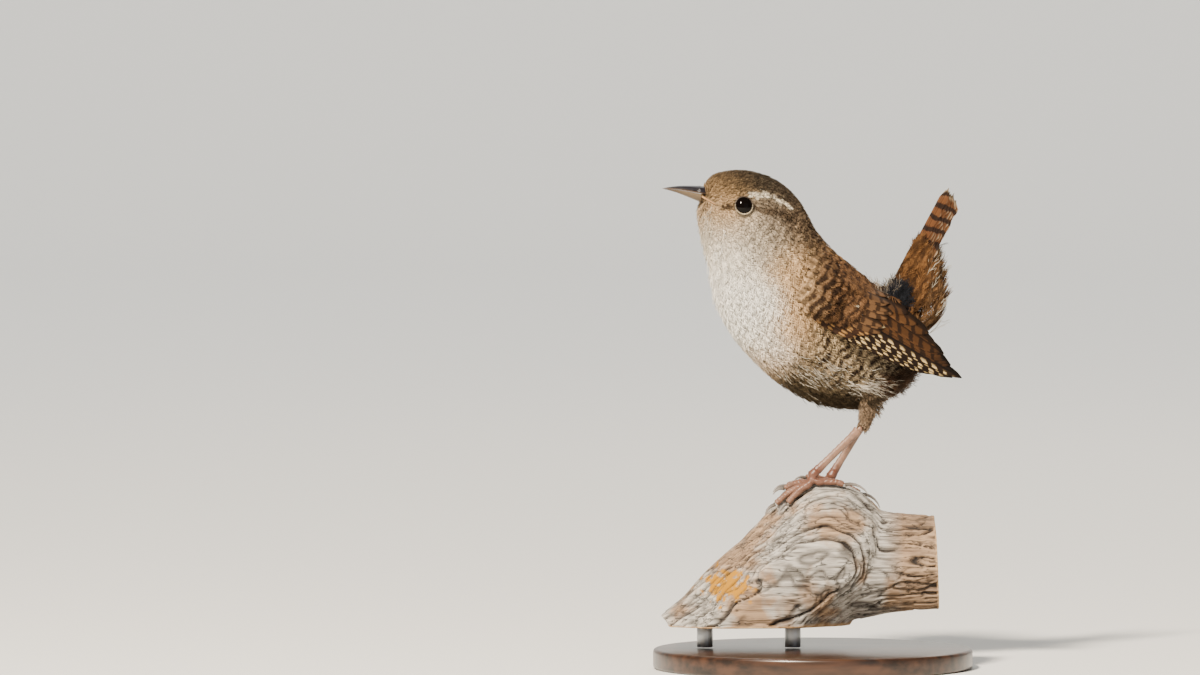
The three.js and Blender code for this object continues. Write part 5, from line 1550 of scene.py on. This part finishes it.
# Stained hardwood under a coat of lacquer, so the dark grain lies under an even gloss.
stained, tree, shader = paint("dark stained lacquered wood")
place = node(tree, "ShaderNodeTexCoord")
run_way = node(tree, "ShaderNodeMapping", [(place.outputs["Object"], "Vector")])
run_way.inputs["Scale"].default_value = (35, 420, 420)
pores = node(tree, "ShaderNodeTexNoise", [(run_way.outputs[0], "Vector")], Scale=1, Detail=5)
stain = node(tree, "ShaderNodeValToRGB", [(pores.outputs["Fac"], "Fac")])
stain.color_ramp.elements[0].position = 0.35
stain.color_ramp.elements[0].color = (*linear("#1e130c"), 1)
stain.color_ramp.elements[1].position = 0.65
stain.color_ramp.elements[1].color = (*linear("#4a3020"), 1)
tree.links.new(stain.outputs["Color"], shader.inputs["Base Color"])
shader.inputs["Roughness"].default_value = 0.32
shader.inputs["Coat Weight"].default_value = 0.3
shader.inputs["Coat Roughness"].default_value = 0.2
bpy.ops.object.select_all(action="DESELECT")
bpy.ops.mesh.primitive_cylinder_add(
    vertices=128, radius=BASE_RADIUS * MM, depth=BASE_HEIGHT * MM, location=(0, 0, BASE_HEIGHT / 2 * MM),
)
base = bpy.context.object
base.name = "turned_base"
bpy.ops.object.transform_apply(location=True, rotation=True, scale=True)
modify(base, "BEVEL", width=BASE_EASING * MM, segments=4, limit_method="ANGLE")
base.data.materials.append(stained)
crisp_edges(base)
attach(base, "root")
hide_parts("stand_base")

# Brushed along its length, so it shines in soft upright streaks.
steel, tree, shader = paint("brushed steel")
place = node(tree, "ShaderNodeTexCoord")
drawn = node(tree, "ShaderNodeMapping", [(place.outputs["Object"], "Vector")])
drawn.inputs["Scale"].default_value = (6000, 6000, 90)
lines = node(tree, "ShaderNodeTexNoise", [(drawn.outputs[0], "Vector")], Scale=1, Detail=2)
gloss = node(tree, "ShaderNodeMapRange", [(lines.outputs["Fac"], "Value")])
gloss.inputs["To Min"].default_value = 0.2
gloss.inputs["To Max"].default_value = 0.45
tree.links.new(gloss.outputs[0], shader.inputs["Roughness"])
shader.inputs["Base Color"].default_value = (*linear("#b9bcc0"), 1)
shader.inputs["Metallic"].default_value = 1
for number in (1, 2):
    low_corner, high_corner = (np.array(c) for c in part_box(f"stand_rod_{number}"))
    bpy.ops.object.select_all(action="DESELECT")
    bpy.ops.mesh.primitive_cylinder_add(
        vertices=48, radius=(high_corner[0] - low_corner[0]) / 2, depth=high_corner[2] - low_corner[2],
        location=(low_corner + high_corner) / 2,
    )
    pin = bpy.context.object
    pin.name = f"steel_pin_{number}"
    bpy.ops.object.transform_apply(location=True, rotation=True, scale=True)
    modify(pin, "BEVEL", width=PIN_EASING * MM, segments=2, limit_method="ANGLE")
    pin.data.materials.append(steel)
    crisp_edges(pin)
    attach(pin, "root")
    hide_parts(f"stand_rod_{number}")
